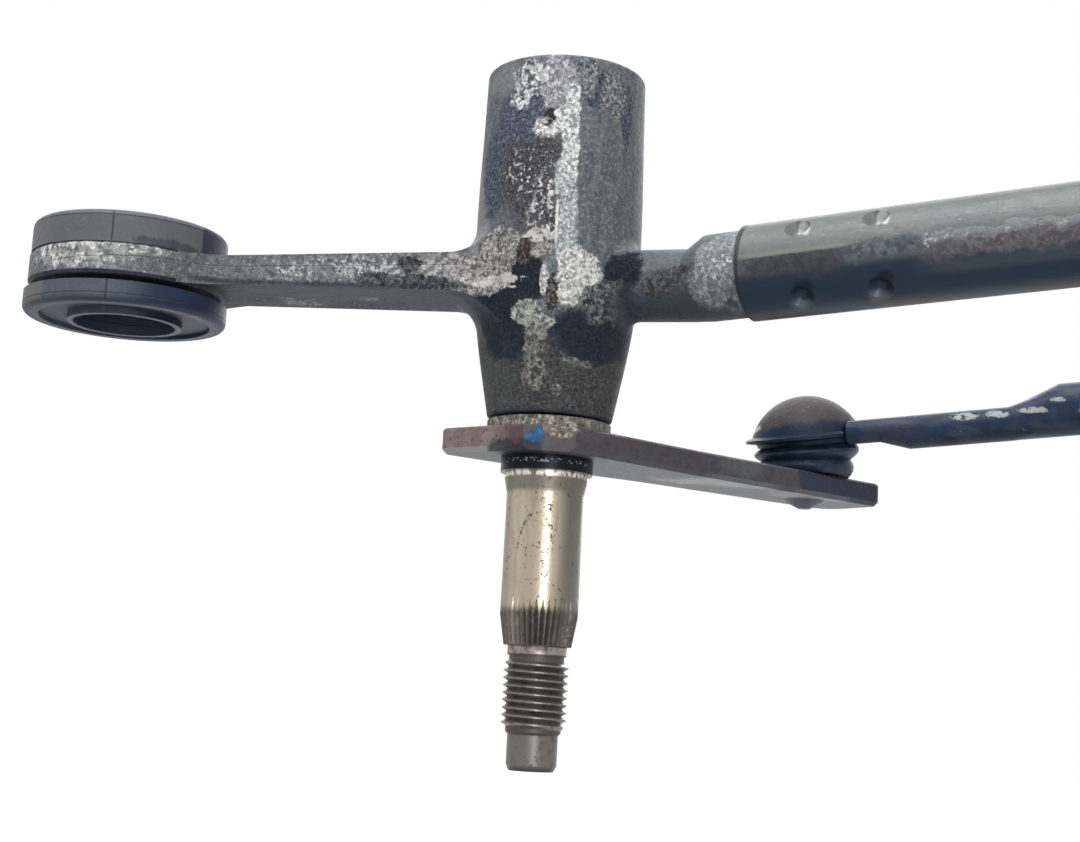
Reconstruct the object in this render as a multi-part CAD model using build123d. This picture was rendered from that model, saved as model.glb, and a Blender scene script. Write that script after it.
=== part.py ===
from build123d import *
import os
from math import asin, cos, degrees, pi, radians, sin

# Wiper linkage pivot, in millimetres: a die-cast pivot housing on a rubber mounted arm, crimped
# into the frame tube, with the wiper spindle, its crank lever and the drive link.
# The origin is on the spindle's axis, where the knurled taper meets the journal. +Z runs up
# through the housing, and the threaded end of the spindle points down.

# Fits and gaps
RUNNING = 0.03          # radial clearance of a shaft in its bush
SEAL_FIT = 0.02         # radial clearance of the seal's lip on the shaft
FREE = 0.3              # gap between pieces that move past each other
SEATED = 0.1            # radial clearance of a piece that is seated by hand
NEAR = 0.01             # how close to a place an edge or a corner counts as being there

# Spindle, from its tip upwards
JOURNAL_R = 6.0
JOURNAL_LENGTH = 18.8
PILOT_R = 3.875
PILOT_LENGTH = 5.4
TIP_CHAMFER = 0.9
THREAD_CORE_R = 4.25
THREAD_LENGTH = 11.95
THREAD_LEAD = 0.4
NECK_R = 4.55
NECK_LENGTH = 1.5
TAPER_LENGTH = 4.6
TAPER_SMALL_R = JOURNAL_R - 0.775
TAPER_TEETH = 38
TOOTH_DEPTH = 0.45
GROOVE_SHARE = 0.86     # of the teeth's pitch
GROOVE_LEAD = 1.0
BAND_R = JOURNAL_R + 0.45               # knurled band pressed into the lever
BAND_CONE_LENGTH = 2.2
BAND_BELOW_COLLAR = 1.0
COLLAR_R = BAND_R + 0.75
COLLAR_LENGTH = 2.35
SPINDLE_ABOVE_HOUSING = 1.1

# Crank lever: its own x axis runs from the spindle to the ball
LEVER_ANGLE = 38.0      # direction of the ball from the spindle, from +X
LEVER_THICKNESS = 4.0
LEVER_BACK = 13.8       # spindle axis to the far corner of the back end
LEVER_HEAD_HALF = 10.8
LEVER_WAIST_X = 25.0
LEVER_WAIST_HALF = 8.1
LEVER_BEND_R = 12.0
LEVER_END_HALF = 6.6
LEVER_FACET = ((-2.8, -10.3), (-9.3, -5.6))     # the cut corner of the head
LEVER_CORNER_R = 1.6
LEVER_FAR_CORNER_R = 5.0
LEVER_EDGE = 0.35
LEVER_END_BEVEL = 0.7
CRANK_RADIUS = 58.3     # spindle axis to ball centre
LEVER_END_X = CRANK_RADIUS + 12.9

# Ball stud
BALL_R = 6.0
BALL_HEIGHT = 7.65      # ball centre above the lever
STUD_NECK_R = 3.2
STUD_COLLAR_R = 4.6
STUD_COLLAR_HEIGHT = 0.9
STUD_SHANK_R = 3.5
RIVET_R = STUD_SHANK_R + 0.4
RIVET_FLAT_R = 1.0
RIVET_HEIGHT = 1.45

# Thrust washers and retaining stack
LOWER_WASHER_R = JOURNAL_R + 3.7
LOWER_WASHER_THICKNESS = 1.55
HOUSING_GAP = 0.45      # lower washer to housing
UPPER_WASHER_R = JOURNAL_R + 3.0
UPPER_WASHER_THICKNESS = 1.0
WASHER_RUNNING_GAP = 0.15
SPRING_THICKNESS = 0.5
SPRING_HEIGHT = 1.2
RING_THICKNESS = 1.0
RING_GROOVE_DEPTH = 0.45
RING_WIDTH = 1.7
RING_OPENING = 34.0     # degrees
LUG_R = 1.5
LUG_HOLE_R = 0.6
LUG_OFFSET = 0.6        # its centre outside the ring's middle line

# Housing barrel
BARREL_LENGTH = 55.75
BARREL_BOTTOM_R = JOURNAL_R + 3.75
BARREL_SHOULDER_R = 12.4
BARREL_SHOULDER_HEIGHT = 15.2
BARREL_WAIST_R = 13.0
BARREL_WAIST_HEIGHT = 23.5
BARREL_TOP_R = 12.65
BARREL_EDGE = 0.7
BORE_RELIEF_R = JOURNAL_R + 0.7
BUSH_R = JOURNAL_R + 1.5
BUSH_LENGTH = 17.0
BUSH_CHAMFER = 0.4
SEAL_R = JOURNAL_R + 2.2
SEAL_DEPTH = 3.0
SEAL_LIP = ((0.2, 0.0), (0.0, 0.4), (0.0, 0.9), (0.7, 1.4))     # outward and upward from its edge
RECESS_R = UPPER_WASHER_R + 1.0
RECESS_DEPTH = 4.2
ROOTS_LOW = 12.6        # the limbs leave the barrel between these heights
ROOTS_HIGH = 26.7

# Mounting arm and eye; heights are above the barrel's lower end
EYE_DISTANCE = 67.8
EYE_R = 15.25
EYE_HOLE_R = 10.5
EYE_HEIGHT = 16.6
EYE_THICKNESS = 4.9
EYE_EDGE = 0.5
ARM_WIDTH = 15.6
ARM_Y = 0.3             # the arm's middle line, beside the axis
ARM_ROOT_LOW = 18.95    # at the spindle's axis
ARM_ROOT_HIGH = 25.75
ARM_TIP_LOW = EYE_HEIGHT + 1.05
ARM_TIP_HIGH = EYE_HEIGHT + 5.6
ARM_TIP_X = EYE_DISTANCE - 18.0
EYE_BLEND_R = 12.0      # in plan, where the arm runs into the eye
EYE_BLEND_X = EYE_DISTANCE - 10.0
EYE_NECK = 22.0         # the blend ends within this of the eye's centre
ARM_ROOT_FILLET = 5.8

# Rubber mount and its sleeve
MOUNT_UPPER_R = 15.1
MOUNT_UPPER_THICKNESS = 5.1
MOUNT_LOWER_R = 15.7
MOUNT_LOWER_THICKNESS = 3.3
MOUNT_GAP = 1.1         # eye to lower disc
MOUNT_RIM = 1.1
MOUNT_DISH_R = 7.9
MOUNT_DISH_DEPTH = 3.5
MOUNT_LIP_R = 8.9
MOUNT_LIP_HEIGHT = 0.5
MOUNT_GROOVE_R = 13.2
MOUNT_GROOVE_DEPTH = 0.6
SLEEVE_R = 6.0
SLEEVE_HOLE_R = 4.25
SLEEVE_SETBACK = 3.1
SLEEVE_CHAMFER = 0.3

# Frame tube and the casting's neck and spigot inside it; distances from the spindle axis
LINK_ANGLE = -28.5      # direction of the frame tube and of the drive link, from +X
TUBE_HEIGHT = 20.05     # barrel's lower end to where the tube's line crosses its axis
TUBE_RISE = 2.7         # degrees
TUBE_R = 7.25
TUBE_WALL = 1.25
TUBE_START = 33.0
TUBE_END = 205.0
SHOULDER_R = TUBE_R - 0.65
NECK_CAST_R = SHOULDER_R - 1.0
NECK_CAST_RISE = 1.6    # the neck's axis above the tube's line at the spindle's axis
NECK_CAST_DROP = 0.8    # and below it at the shoulder
NECK_END = 23.6
SHOULDER_START = 26.6
NECK_FILLET = 2.2
SPIGOT_END = 60.0
SPIGOT_CHAMFER = 1.0
CRIMP_STATIONS = (42.3, 54.0)
CRIMP_ROWS = (52, 142, 232, 322)                # degrees round the tube
CRIMP_DEPTH = 1.5
CRIMP_MOUTH_R = 2.0
CRIMP_TIP_R = 0.6
CRIMP_ROUND = 1.3       # fillet that rounds off its tip
CRIMP_LEAD = 0.5        # its cone goes on past the tube's surface

# Ball socket, measured from the ball's centre
SOCKET_FIT = 0.05       # radial clearance of the ball in its cup
CUP_R = BALL_R + 0.9
CUP_BELOW = 2.2
CUP_TOP_GAP = 0.15
EYELET_HOLE_R = CUP_R + 0.05
EYELET_R = EYELET_HOLE_R + 1.25
EYELET_THICKNESS = 2.2
CAP_RIM_R = BALL_R + 3.5
CAP_RIM_Z = 0.4
CAP_DOME_HEIGHT = BALL_R + 0.7
CAP_BRIM_R = CAP_RIM_R + 1.2
CAP_BRIM_THICKNESS = 0.5
CAP_SHEET = 0.8
CAP_LIP_R = EYELET_R + 0.4
CAP_LIP_HOLE_R = CUP_R + 0.7
CAP_LIP_DROP = 1.6
CAP_SKIRT_FLARE = 0.3
CAP_SKIRT_HEIGHT = 0.8
BOOT_WALL = 0.9
BOOT_FOOT_R = CUP_R + 0.7
BOOT_TOP_R = BOOT_FOOT_R + 0.5
BOOT_ROLLS = (0.75, 1.3)                        # how far its rolls stand out, from the foot up
BOOT_STEPS = 5          # rings that shape each roll
BOOT_FOOT_HOLE_R = STUD_COLLAR_R + 0.8
BOOT_FREE_HEIGHT = 5.6

# Drive link, in its own frame: x along the link from the crank's ball, z up through the cap
LINK_RISE = 3.4
LINK_ROLL = -11.0
LINK_LENGTH = 185.0     # ball centre to ball centre
ROD_R = 4.4
FLAT_THICKNESS = 5.7
FLAT_WIDTH = 11.0
FLAT_TOP = 1.95
END_THICKNESS = 4.1
END_WIDTH = 10.4
STEP_START = 14.3
STEP_END = 19.3
FLARE_START = 36.5
FLARE_END = 44.5

# Places worked out from the sizes above
COLLAR_BOTTOM = JOURNAL_LENGTH + BAND_CONE_LENGTH + BAND_BELOW_COLLAR
LEVER_BOTTOM = COLLAR_BOTTOM + COLLAR_LENGTH
LEVER_TOP = LEVER_BOTTOM + LEVER_THICKNESS
BARREL_BOTTOM = LEVER_TOP + LOWER_WASHER_THICKNESS + HOUSING_GAP
BARREL_TOP = BARREL_BOTTOM + BARREL_LENGTH
SPINDLE_TOP = BARREL_TOP + SPINDLE_ABOVE_HOUSING
EYE_BOTTOM = BARREL_BOTTOM + EYE_HEIGHT
RECESS_FLOOR = BARREL_TOP - RECESS_DEPTH
UPPER_WASHER_BOTTOM = RECESS_FLOOR + WASHER_RUNNING_GAP
SPRING_BOTTOM = UPPER_WASHER_BOTTOM + UPPER_WASHER_THICKNESS
RING_BOTTOM = SPRING_BOTTOM + SPRING_HEIGHT
TUBE_BORE_R = TUBE_R - TUBE_WALL
SPIGOT_R = TUBE_BORE_R - SEATED
TONGUE_WIDTH = END_WIDTH - END_THICKNESS
BALL = Vector(CRANK_RADIUS * cos(radians(LEVER_ANGLE)), CRANK_RADIUS * sin(radians(LEVER_ANGLE)),
              LEVER_TOP + BALL_HEIGHT)


def link_frame():
    """The drive link's frame: level turned to its direction, then pitched up and rolled."""
    turned = Location(BALL) * Rotation(0, 0, LINK_ANGLE) * Rotation(0, -LINK_RISE, 0)
    return Plane(turned * Rotation(-LINK_ROLL, 0, 0))


LEVER_FRAME = Plane(Location((0, 0, LEVER_BOTTOM)) * Rotation(0, 0, LEVER_ANGLE))
TUBE_FRAME = Plane(Location((0, 0, BARREL_BOTTOM + TUBE_HEIGHT))
                   * Rotation(0, 0, LINK_ANGLE) * Rotation(0, -TUBE_RISE, 0))
LINK_FRAME = link_frame()


def disc(radius, bottom, height):
    """A plain cylinder about Z that stands on the given height."""
    return Pos(0, 0, bottom) * Cylinder(radius, height, align=(Align.CENTER, Align.CENTER, Align.MIN))


def ring(radius, hole, bottom, height):
    return disc(radius, bottom, height) - disc(hole, bottom, height)


def rims_at(body, *heights):
    """A body's round edges at the given heights."""
    return body.edges().filter_by(GeomType.CIRCLE).filter_by(
        lambda e: min(abs(e.center().Z - height) for height in heights) < NEAR)


def turned(points):
    """A turned piece from half of its section, given as (radius, height) points."""
    return revolve(make_face(Polyline([(r, 0, z) for r, z in points], close=True)), Axis.Z)


def along_x(radius, start, end, y=0.0, z=0.0):
    return extrude(Plane.YZ.offset(start) * Pos(y, z) * Circle(radius), end - start)


def spindle():
    """Turned shaft with pilot tip, thread core, toothed taper, journal, band, collar and groove."""
    neck_bottom = -TAPER_LENGTH - NECK_LENGTH
    thread_bottom = neck_bottom - THREAD_LENGTH
    tip = thread_bottom - PILOT_LENGTH
    groove_r = JOURNAL_R - RING_GROOVE_DEPTH
    profile = [
        (0, tip), (PILOT_R - TIP_CHAMFER / 2, tip), (PILOT_R, tip + TIP_CHAMFER), (PILOT_R, thread_bottom),
        (THREAD_CORE_R, thread_bottom + THREAD_LEAD), (THREAD_CORE_R, neck_bottom), (NECK_R, neck_bottom),
        (NECK_R, -TAPER_LENGTH), (TAPER_SMALL_R, -TAPER_LENGTH), (JOURNAL_R, 0),
        (JOURNAL_R, JOURNAL_LENGTH), (BAND_R, JOURNAL_LENGTH + BAND_CONE_LENGTH),
        (BAND_R, COLLAR_BOTTOM), (COLLAR_R, COLLAR_BOTTOM), (COLLAR_R, LEVER_BOTTOM),
        (BAND_R, LEVER_BOTTOM), (BAND_R, LEVER_TOP), (JOURNAL_R, LEVER_TOP), (JOURNAL_R, RING_BOTTOM),
        (groove_r, RING_BOTTOM), (groove_r, RING_BOTTOM + RING_THICKNESS),
        (JOURNAL_R, RING_BOTTOM + RING_THICKNESS), (JOURNAL_R, SPINDLE_TOP - TIP_CHAMFER),
        (JOURNAL_R - TIP_CHAMFER, SPINDLE_TOP), (0, SPINDLE_TOP)]
    return turned(profile) - taper_grooves()


def taper_grooves():
    """V grooves between the taper's teeth: they follow the cone and run out on the journal."""
    slope = (JOURNAL_R - TAPER_SMALL_R) / TAPER_LENGTH
    low_r = TAPER_SMALL_R - slope * GROOVE_LEAD - TOOTH_DEPTH
    width = 2 * pi * JOURNAL_R / TAPER_TEETH * GROOVE_SHARE

    def mouth(z, floor_r):
        outer = floor_r + 2 * TOOTH_DEPTH
        return Plane.XY.offset(z) * make_face(Polyline(
            [(floor_r, 0), (outer, width), (outer, -width)], close=True))

    ends = [mouth(-TAPER_LENGTH - GROOVE_LEAD, low_r), mouth(TOOTH_DEPTH / slope, JOURNAL_R)]
    groove = loft(ends, ruled=True)
    return [Rotation(0, 0, 360 / TAPER_TEETH * i) * groove for i in range(TAPER_TEETH)]


def lever_outline():
    """Corners of the lever with their radii, joined into its rounded outline."""
    corners = [
        (-LEVER_BACK, LEVER_HEAD_HALF, LEVER_CORNER_R), (0, LEVER_HEAD_HALF, LEVER_BEND_R),
        (LEVER_WAIST_X, LEVER_WAIST_HALF, LEVER_BEND_R), (LEVER_END_X, LEVER_END_HALF, LEVER_FAR_CORNER_R),
        (LEVER_END_X, -LEVER_END_HALF, LEVER_CORNER_R), (LEVER_WAIST_X, -LEVER_WAIST_HALF, LEVER_BEND_R)]
    points = [(x, y) for x, y, radius in corners]
    face = make_face(Polyline(points + list(LEVER_FACET), close=True))
    for x, y, radius in corners:
        face = fillet(face.vertices().sort_by_distance((x, y, 0))[0], radius)
    return face


def crank_lever():
    """Flat stamped lever, wide at the spindle and narrow at the ball stud."""
    plate = extrude(lever_outline(), LEVER_THICKNESS)
    end_edge = plate.edges().sort_by_distance((LEVER_END_X, 0, 0))[0]
    plate = chamfer(end_edge, LEVER_END_BEVEL)
    plate = chamfer(plate.faces().sort_by(Axis.Z)[-1].outer_wire().edges(), LEVER_EDGE)
    plate -= disc(BAND_R, 0, LEVER_THICKNESS)
    plate -= Pos(CRANK_RADIUS, 0, 0) * disc(STUD_SHANK_R, 0, LEVER_THICKNESS)
    return LEVER_FRAME * plate


def ball_stud():
    """Ball on a neck and collar, its shank riveted over under the lever."""
    stem = turned([
        (0, -LEVER_THICKNESS - RIVET_HEIGHT), (RIVET_FLAT_R, -LEVER_THICKNESS - RIVET_HEIGHT),
        (RIVET_R, -LEVER_THICKNESS), (STUD_SHANK_R, -LEVER_THICKNESS), (STUD_SHANK_R, 0),
        (STUD_COLLAR_R, 0), (STUD_COLLAR_R, STUD_COLLAR_HEIGHT), (STUD_NECK_R, STUD_COLLAR_HEIGHT),
        (STUD_NECK_R, BALL_HEIGHT), (0, BALL_HEIGHT)])
    ball = Pos(0, 0, BALL_HEIGHT) * Sphere(BALL_R)
    return Pos(BALL.X, BALL.Y, LEVER_TOP) * (stem + ball)


def lower_thrust_washer():
    return ring(LOWER_WASHER_R, JOURNAL_R + SEATED, LEVER_TOP, LOWER_WASHER_THICKNESS)


def upper_thrust_washer():
    return ring(UPPER_WASHER_R, JOURNAL_R + SEATED, UPPER_WASHER_BOTTOM, UPPER_WASHER_THICKNESS)


def spring_washer():
    """Conical spring washer between the thrust washer and the retaining ring."""
    inner, outer = JOURNAL_R + SEATED, UPPER_WASHER_R - SEATED
    rise = SPRING_HEIGHT - SPRING_THICKNESS
    section = [(inner, rise), (outer, 0), (outer, SPRING_THICKNESS), (inner, SPRING_HEIGHT)]
    return Pos(0, 0, SPRING_BOTTOM) * turned(section)


def retaining_ring():
    """Open ring in the spindle's groove, with two pierced lugs beside its opening."""
    inner = JOURNAL_R - RING_GROOVE_DEPTH
    middle = inner + RING_WIDTH / 2
    body = ring(inner + RING_WIDTH, inner, 0, RING_THICKNESS)
    gap = make_face(Polyline([(0, 0)] + [
        (2 * inner * cos(radians(a)), 2 * inner * sin(radians(a)))
        for a in (-RING_OPENING / 2, RING_OPENING / 2)], close=True))
    body -= extrude(gap, RING_THICKNESS)
    lug_angle = RING_OPENING / 2 + degrees(asin(LUG_R / middle))
    for side in (-1, 1):
        place = Rotation(0, 0, side * lug_angle) * Pos(middle + LUG_OFFSET, 0, 0)
        body += place * disc(LUG_R, 0, RING_THICKNESS) - disc(inner, 0, RING_THICKNESS)
        body -= place * disc(LUG_HOLE_R, 0, RING_THICKNESS)
    return Pos(0, 0, RING_BOTTOM) * Rotation(0, 0, 90) * body


def bush(bottom):
    """Plain sintered bush with chamfered ends."""
    top, hole = bottom + BUSH_LENGTH, JOURNAL_R + RUNNING
    return turned([
        (hole + BUSH_CHAMFER, bottom), (BUSH_R - BUSH_CHAMFER, bottom), (BUSH_R, bottom + BUSH_CHAMFER),
        (BUSH_R, top - BUSH_CHAMFER), (BUSH_R - BUSH_CHAMFER, top), (hole + BUSH_CHAMFER, top),
        (hole, top - BUSH_CHAMFER), (hole, bottom + BUSH_CHAMFER)])


def lower_bush():
    return bush(BARREL_BOTTOM + SEAL_DEPTH)


def upper_bush():
    return bush(RECESS_FLOOR - BUSH_LENGTH)


def shaft_seal():
    """Rubber ring with a single lip on the spindle, in the housing's lower mouth."""
    bottom, top = BARREL_BOTTOM + FREE, BARREL_BOTTOM + SEAL_DEPTH
    lip = [(JOURNAL_R + SEAL_FIT + out, bottom + up) for out, up in SEAL_LIP]
    return turned(lip + [(lip[-1][0], top), (SEAL_R, top), (SEAL_R, bottom)])


def barrel():
    """Outside of the housing: a cone that blends into a slight draft up to the top."""
    stations = [(BARREL_BOTTOM_R, 0), (BARREL_SHOULDER_R, BARREL_SHOULDER_HEIGHT),
                (BARREL_WAIST_R, BARREL_WAIST_HEIGHT), (BARREL_TOP_R, BARREL_LENGTH)]
    cone = (BARREL_SHOULDER_R - BARREL_BOTTOM_R, 0, BARREL_SHOULDER_HEIGHT)
    draft = (BARREL_TOP_R - BARREL_WAIST_R, 0, BARREL_LENGTH - BARREL_WAIST_HEIGHT)
    side = Spline([(r, 0, BARREL_BOTTOM + h) for r, h in stations], tangents=[cone, draft])
    rest = Polyline([(BARREL_TOP_R, 0, BARREL_TOP), (0, 0, BARREL_TOP), (0, 0, BARREL_BOTTOM),
                     (BARREL_BOTTOM_R, 0, BARREL_BOTTOM)])
    body = revolve(make_face(side + rest), Axis.Z)
    return fillet(rims_at(body, BARREL_BOTTOM, BARREL_TOP), BARREL_EDGE)


def arm_side():
    """Side view of the arm, thinner at the eye than at its root."""
    return make_face(Polyline([
        (0, 0, ARM_ROOT_LOW), (0, 0, ARM_ROOT_HIGH),
        (-ARM_TIP_X, 0, ARM_TIP_HIGH), (-EYE_BLEND_X, 0, EYE_HEIGHT + EYE_THICKNESS),
        (-EYE_BLEND_X, 0, EYE_HEIGHT), (-ARM_TIP_X, 0, ARM_TIP_LOW)], close=True))


def arm():
    return Pos(0, ARM_Y, BARREL_BOTTOM) * extrude(arm_side(), ARM_WIDTH / 2, both=True)


def eye():
    """Mounting eye, and the stretch of the arm that widens into its round."""
    body = Pos(-EYE_DISTANCE, 0, 0) * disc(EYE_R, EYE_BOTTOM, EYE_THICKNESS)
    body = chamfer(body.edges().filter_by(GeomType.CIRCLE), EYE_EDGE)
    plan = Pos(-EYE_DISTANCE, ARM_Y) * Rectangle(2 * EYE_NECK, ARM_WIDTH)
    plan += Pos(-EYE_DISTANCE, 0) * Circle(EYE_R)
    corners = plan.vertices().filter_by(lambda v: -EYE_DISTANCE < v.X < EYE_R - EYE_DISTANCE)
    plan = fillet(corners, EYE_BLEND_R)
    neck = extrude(arm_side(), EYE_R, both=True) & extrude(plan, BARREL_LENGTH)
    return body + Pos(0, 0, BARREL_BOTTOM) * neck


def cast_root(body, x_low, x_high):
    """The edges where a cast limb leaves the barrel."""
    return body.edges().filter_by(GeomType.BSPLINE).filter_by(
        lambda e: x_low < e.center().X < x_high and ROOTS_LOW < e.center().Z - BARREL_BOTTOM < ROOTS_HIGH)


def tube_end():
    """Neck, shoulder and spigot that carry the frame tube, with pockets for its crimps."""
    inner = Plane.YZ * Pos(0, NECK_CAST_RISE) * Circle(NECK_CAST_R)
    low = Plane.YZ.offset(NECK_END) * Pos(0, -NECK_CAST_DROP) * Circle(NECK_CAST_R)
    full = Plane.YZ.offset(SHOULDER_START) * Circle(SHOULDER_R)
    neck = loft([inner, low]) + loft([low, full])
    neck += along_x(SHOULDER_R, SHOULDER_START, TUBE_START)
    spigot = along_x(SPIGOT_R, TUBE_START, SPIGOT_END)
    spigot = chamfer(spigot.faces().sort_by(Axis.X)[-1].edges(), SPIGOT_CHAMFER)
    for place in crimp_places():
        spigot -= place * crimp(TUBE_WALL + SEATED)
    return TUBE_FRAME * (neck + spigot)


def crimp_places():
    """One place on the tube's surface for each crimp, its z pointing out of the tube."""
    return [Pos(x, 0, 0) * Rotation(row - 90, 0, 0) * Pos(0, 0, TUBE_R)
            for x in CRIMP_STATIONS for row in CRIMP_ROWS]


def crimp(wall):
    """Cone pressed into the tube's wall; with a wall added it is the bulge inside."""
    slope = (CRIMP_MOUTH_R - CRIMP_TIP_R) / CRIMP_DEPTH
    low_r = CRIMP_TIP_R + wall / 2
    height = CRIMP_DEPTH + CRIMP_LEAD
    cone = Cone(low_r, low_r + slope * height, height, align=(Align.CENTER, Align.CENTER, Align.MIN))
    return Pos(0, 0, -CRIMP_DEPTH - wall) * cone


def blunt(cone, radius):
    return fillet(cone.edges().filter_by(GeomType.CIRCLE).sort_by(SortBy.RADIUS)[0], radius)


def pivot_housing():
    """Cast housing: barrel, arm with its eye, neck and spigot, then bored for bushes and seal."""
    body = barrel() + arm()
    body = fillet(cast_root(body, -2 * BARREL_WAIST_R, -BARREL_WAIST_R / 2), ARM_ROOT_FILLET)
    body += eye() + tube_end()
    body = fillet(cast_root(body, BARREL_WAIST_R / 3, BARREL_WAIST_R), NECK_FILLET)
    eye_top = EYE_BOTTOM + EYE_THICKNESS
    body -= Pos(-EYE_DISTANCE, 0, 0) * disc(EYE_HOLE_R, EYE_BOTTOM, EYE_THICKNESS)
    body -= Pos(-EYE_DISTANCE, 0, 0) * disc(MOUNT_UPPER_R + FREE, eye_top, MOUNT_UPPER_THICKNESS)
    body -= disc(BORE_RELIEF_R, BARREL_BOTTOM, BARREL_LENGTH)
    body -= disc(SEAL_R, BARREL_BOTTOM, SEAL_DEPTH)
    body -= disc(BUSH_R, BARREL_BOTTOM + SEAL_DEPTH, BUSH_LENGTH)
    body -= disc(BUSH_R, RECESS_FLOOR - BUSH_LENGTH, BUSH_LENGTH)
    return body - disc(RECESS_R, RECESS_FLOOR, RECESS_DEPTH)


def mount_grommet():
    """Rubber mount: a disc above and below the eye, joined through it, dished at both faces."""
    eye_top = EYE_BOTTOM + EYE_THICKNESS
    top = eye_top + MOUNT_UPPER_THICKNESS
    gap_bottom = EYE_BOTTOM - MOUNT_GAP
    bottom = gap_bottom - MOUNT_LOWER_THICKNESS
    waist = EYE_HOLE_R - SEATED
    body = turned([
        (0, bottom), (MOUNT_LOWER_R, bottom), (MOUNT_LOWER_R, gap_bottom), (waist, gap_bottom),
        (waist, eye_top), (MOUNT_UPPER_R, eye_top), (MOUNT_UPPER_R, top), (0, top)])
    body = fillet(rims_at(body, top, bottom), MOUNT_RIM)
    body += ring(MOUNT_LIP_R, MOUNT_DISH_R, top, MOUNT_LIP_HEIGHT)
    body += ring(MOUNT_LIP_R, MOUNT_DISH_R, bottom - MOUNT_LIP_HEIGHT, MOUNT_LIP_HEIGHT)
    body -= ring(MOUNT_GROOVE_R, MOUNT_LIP_R, bottom, MOUNT_GROOVE_DEPTH)
    body -= disc(MOUNT_DISH_R, top - MOUNT_DISH_DEPTH, MOUNT_DISH_DEPTH)
    body -= disc(MOUNT_DISH_R, bottom, MOUNT_DISH_DEPTH)
    body -= disc(SLEEVE_R, bottom, top - bottom)
    return Pos(-EYE_DISTANCE, 0, 0) * body


def grommet_sleeve():
    """Steel spacer through the rubber mount; the fixing screw clamps its ends."""
    bottom = EYE_BOTTOM - MOUNT_GAP - MOUNT_LOWER_THICKNESS + SLEEVE_SETBACK
    top = EYE_BOTTOM + EYE_THICKNESS + MOUNT_UPPER_THICKNESS - SLEEVE_SETBACK
    tube = ring(SLEEVE_R, SLEEVE_HOLE_R, bottom, top - bottom)
    return Pos(-EYE_DISTANCE, 0, 0) * chamfer(rims_at(tube, bottom, top), SLEEVE_CHAMFER)


def frame_tube():
    """Thin tube pushed over the spigot and crimped into it."""
    tube = along_x(TUBE_R, TUBE_START, TUBE_END) - along_x(TUBE_BORE_R, TUBE_START, TUBE_END)
    for place in crimp_places():
        tube += place * blunt(crimp(TUBE_WALL), CRIMP_ROUND + TUBE_WALL)
        tube -= place * blunt(crimp(0), CRIMP_ROUND)
    return TUBE_FRAME * tube


def drive_link():
    """Round bar forged flat at both ends, each with an eyelet for its ball cup."""
    rod_z = FLAT_TOP - FLAT_THICKNESS + ROD_R

    def section(x, width, thickness):
        return Plane.YZ.offset(x) * Pos(0, FLAT_TOP - thickness / 2) * SlotOverall(width, thickness)

    def half():
        """From the eyelet to the middle of the link."""
        eyelet = disc(EYELET_R, -EYELET_THICKNESS / 2, EYELET_THICKNESS)
        tongue = Pos(EYELET_R, 0, 0) * Box(EYELET_R, TONGUE_WIDTH, EYELET_THICKNESS)
        root = section(CAP_LIP_R + FREE, END_WIDTH, END_THICKNESS)
        end = extrude(root, STEP_START - CAP_LIP_R - FREE) + tongue + eyelet
        flat = section(STEP_END, FLAT_WIDTH, FLAT_THICKNESS)
        end += loft([section(STEP_START, END_WIDTH, END_THICKNESS), flat])
        end += extrude(flat, FLARE_START - STEP_END)
        end += loft([section(FLARE_START, FLAT_WIDTH, FLAT_THICKNESS),
                     Plane.YZ.offset(FLARE_END) * Pos(0, rod_z) * Circle(ROD_R)])
        end += along_x(ROD_R, FLARE_END, LINK_LENGTH / 2, z=rod_z)
        return end - disc(EYELET_HOLE_R, -EYELET_THICKNESS, 2 * EYELET_THICKNESS)

    one = half()
    return LINK_FRAME * (one + Pos(LINK_LENGTH, 0, 0) * mirror(one, Plane.YZ))


def cup():
    """Plastic ball cup that fills the eyelet and the cap; its mouth snaps under the ball."""
    inside = Pos(0, 0, dome_centre()) * Sphere(dome_radius() - CAP_SHEET - CUP_TOP_GAP)
    top = inside & disc(EYELET_R, EYELET_THICKNESS / 2, 2 * CAP_DOME_HEIGHT)
    body = top + disc(CUP_R, -CUP_BELOW, CUP_BELOW + EYELET_THICKNESS)
    return body - Sphere(BALL_R + SOCKET_FIT)


def dome_radius():
    return (CAP_RIM_R ** 2 + CAP_DOME_HEIGHT ** 2) / (2 * CAP_DOME_HEIGHT)


def dome_centre():
    return CAP_RIM_Z + CAP_DOME_HEIGHT - dome_radius()


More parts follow.
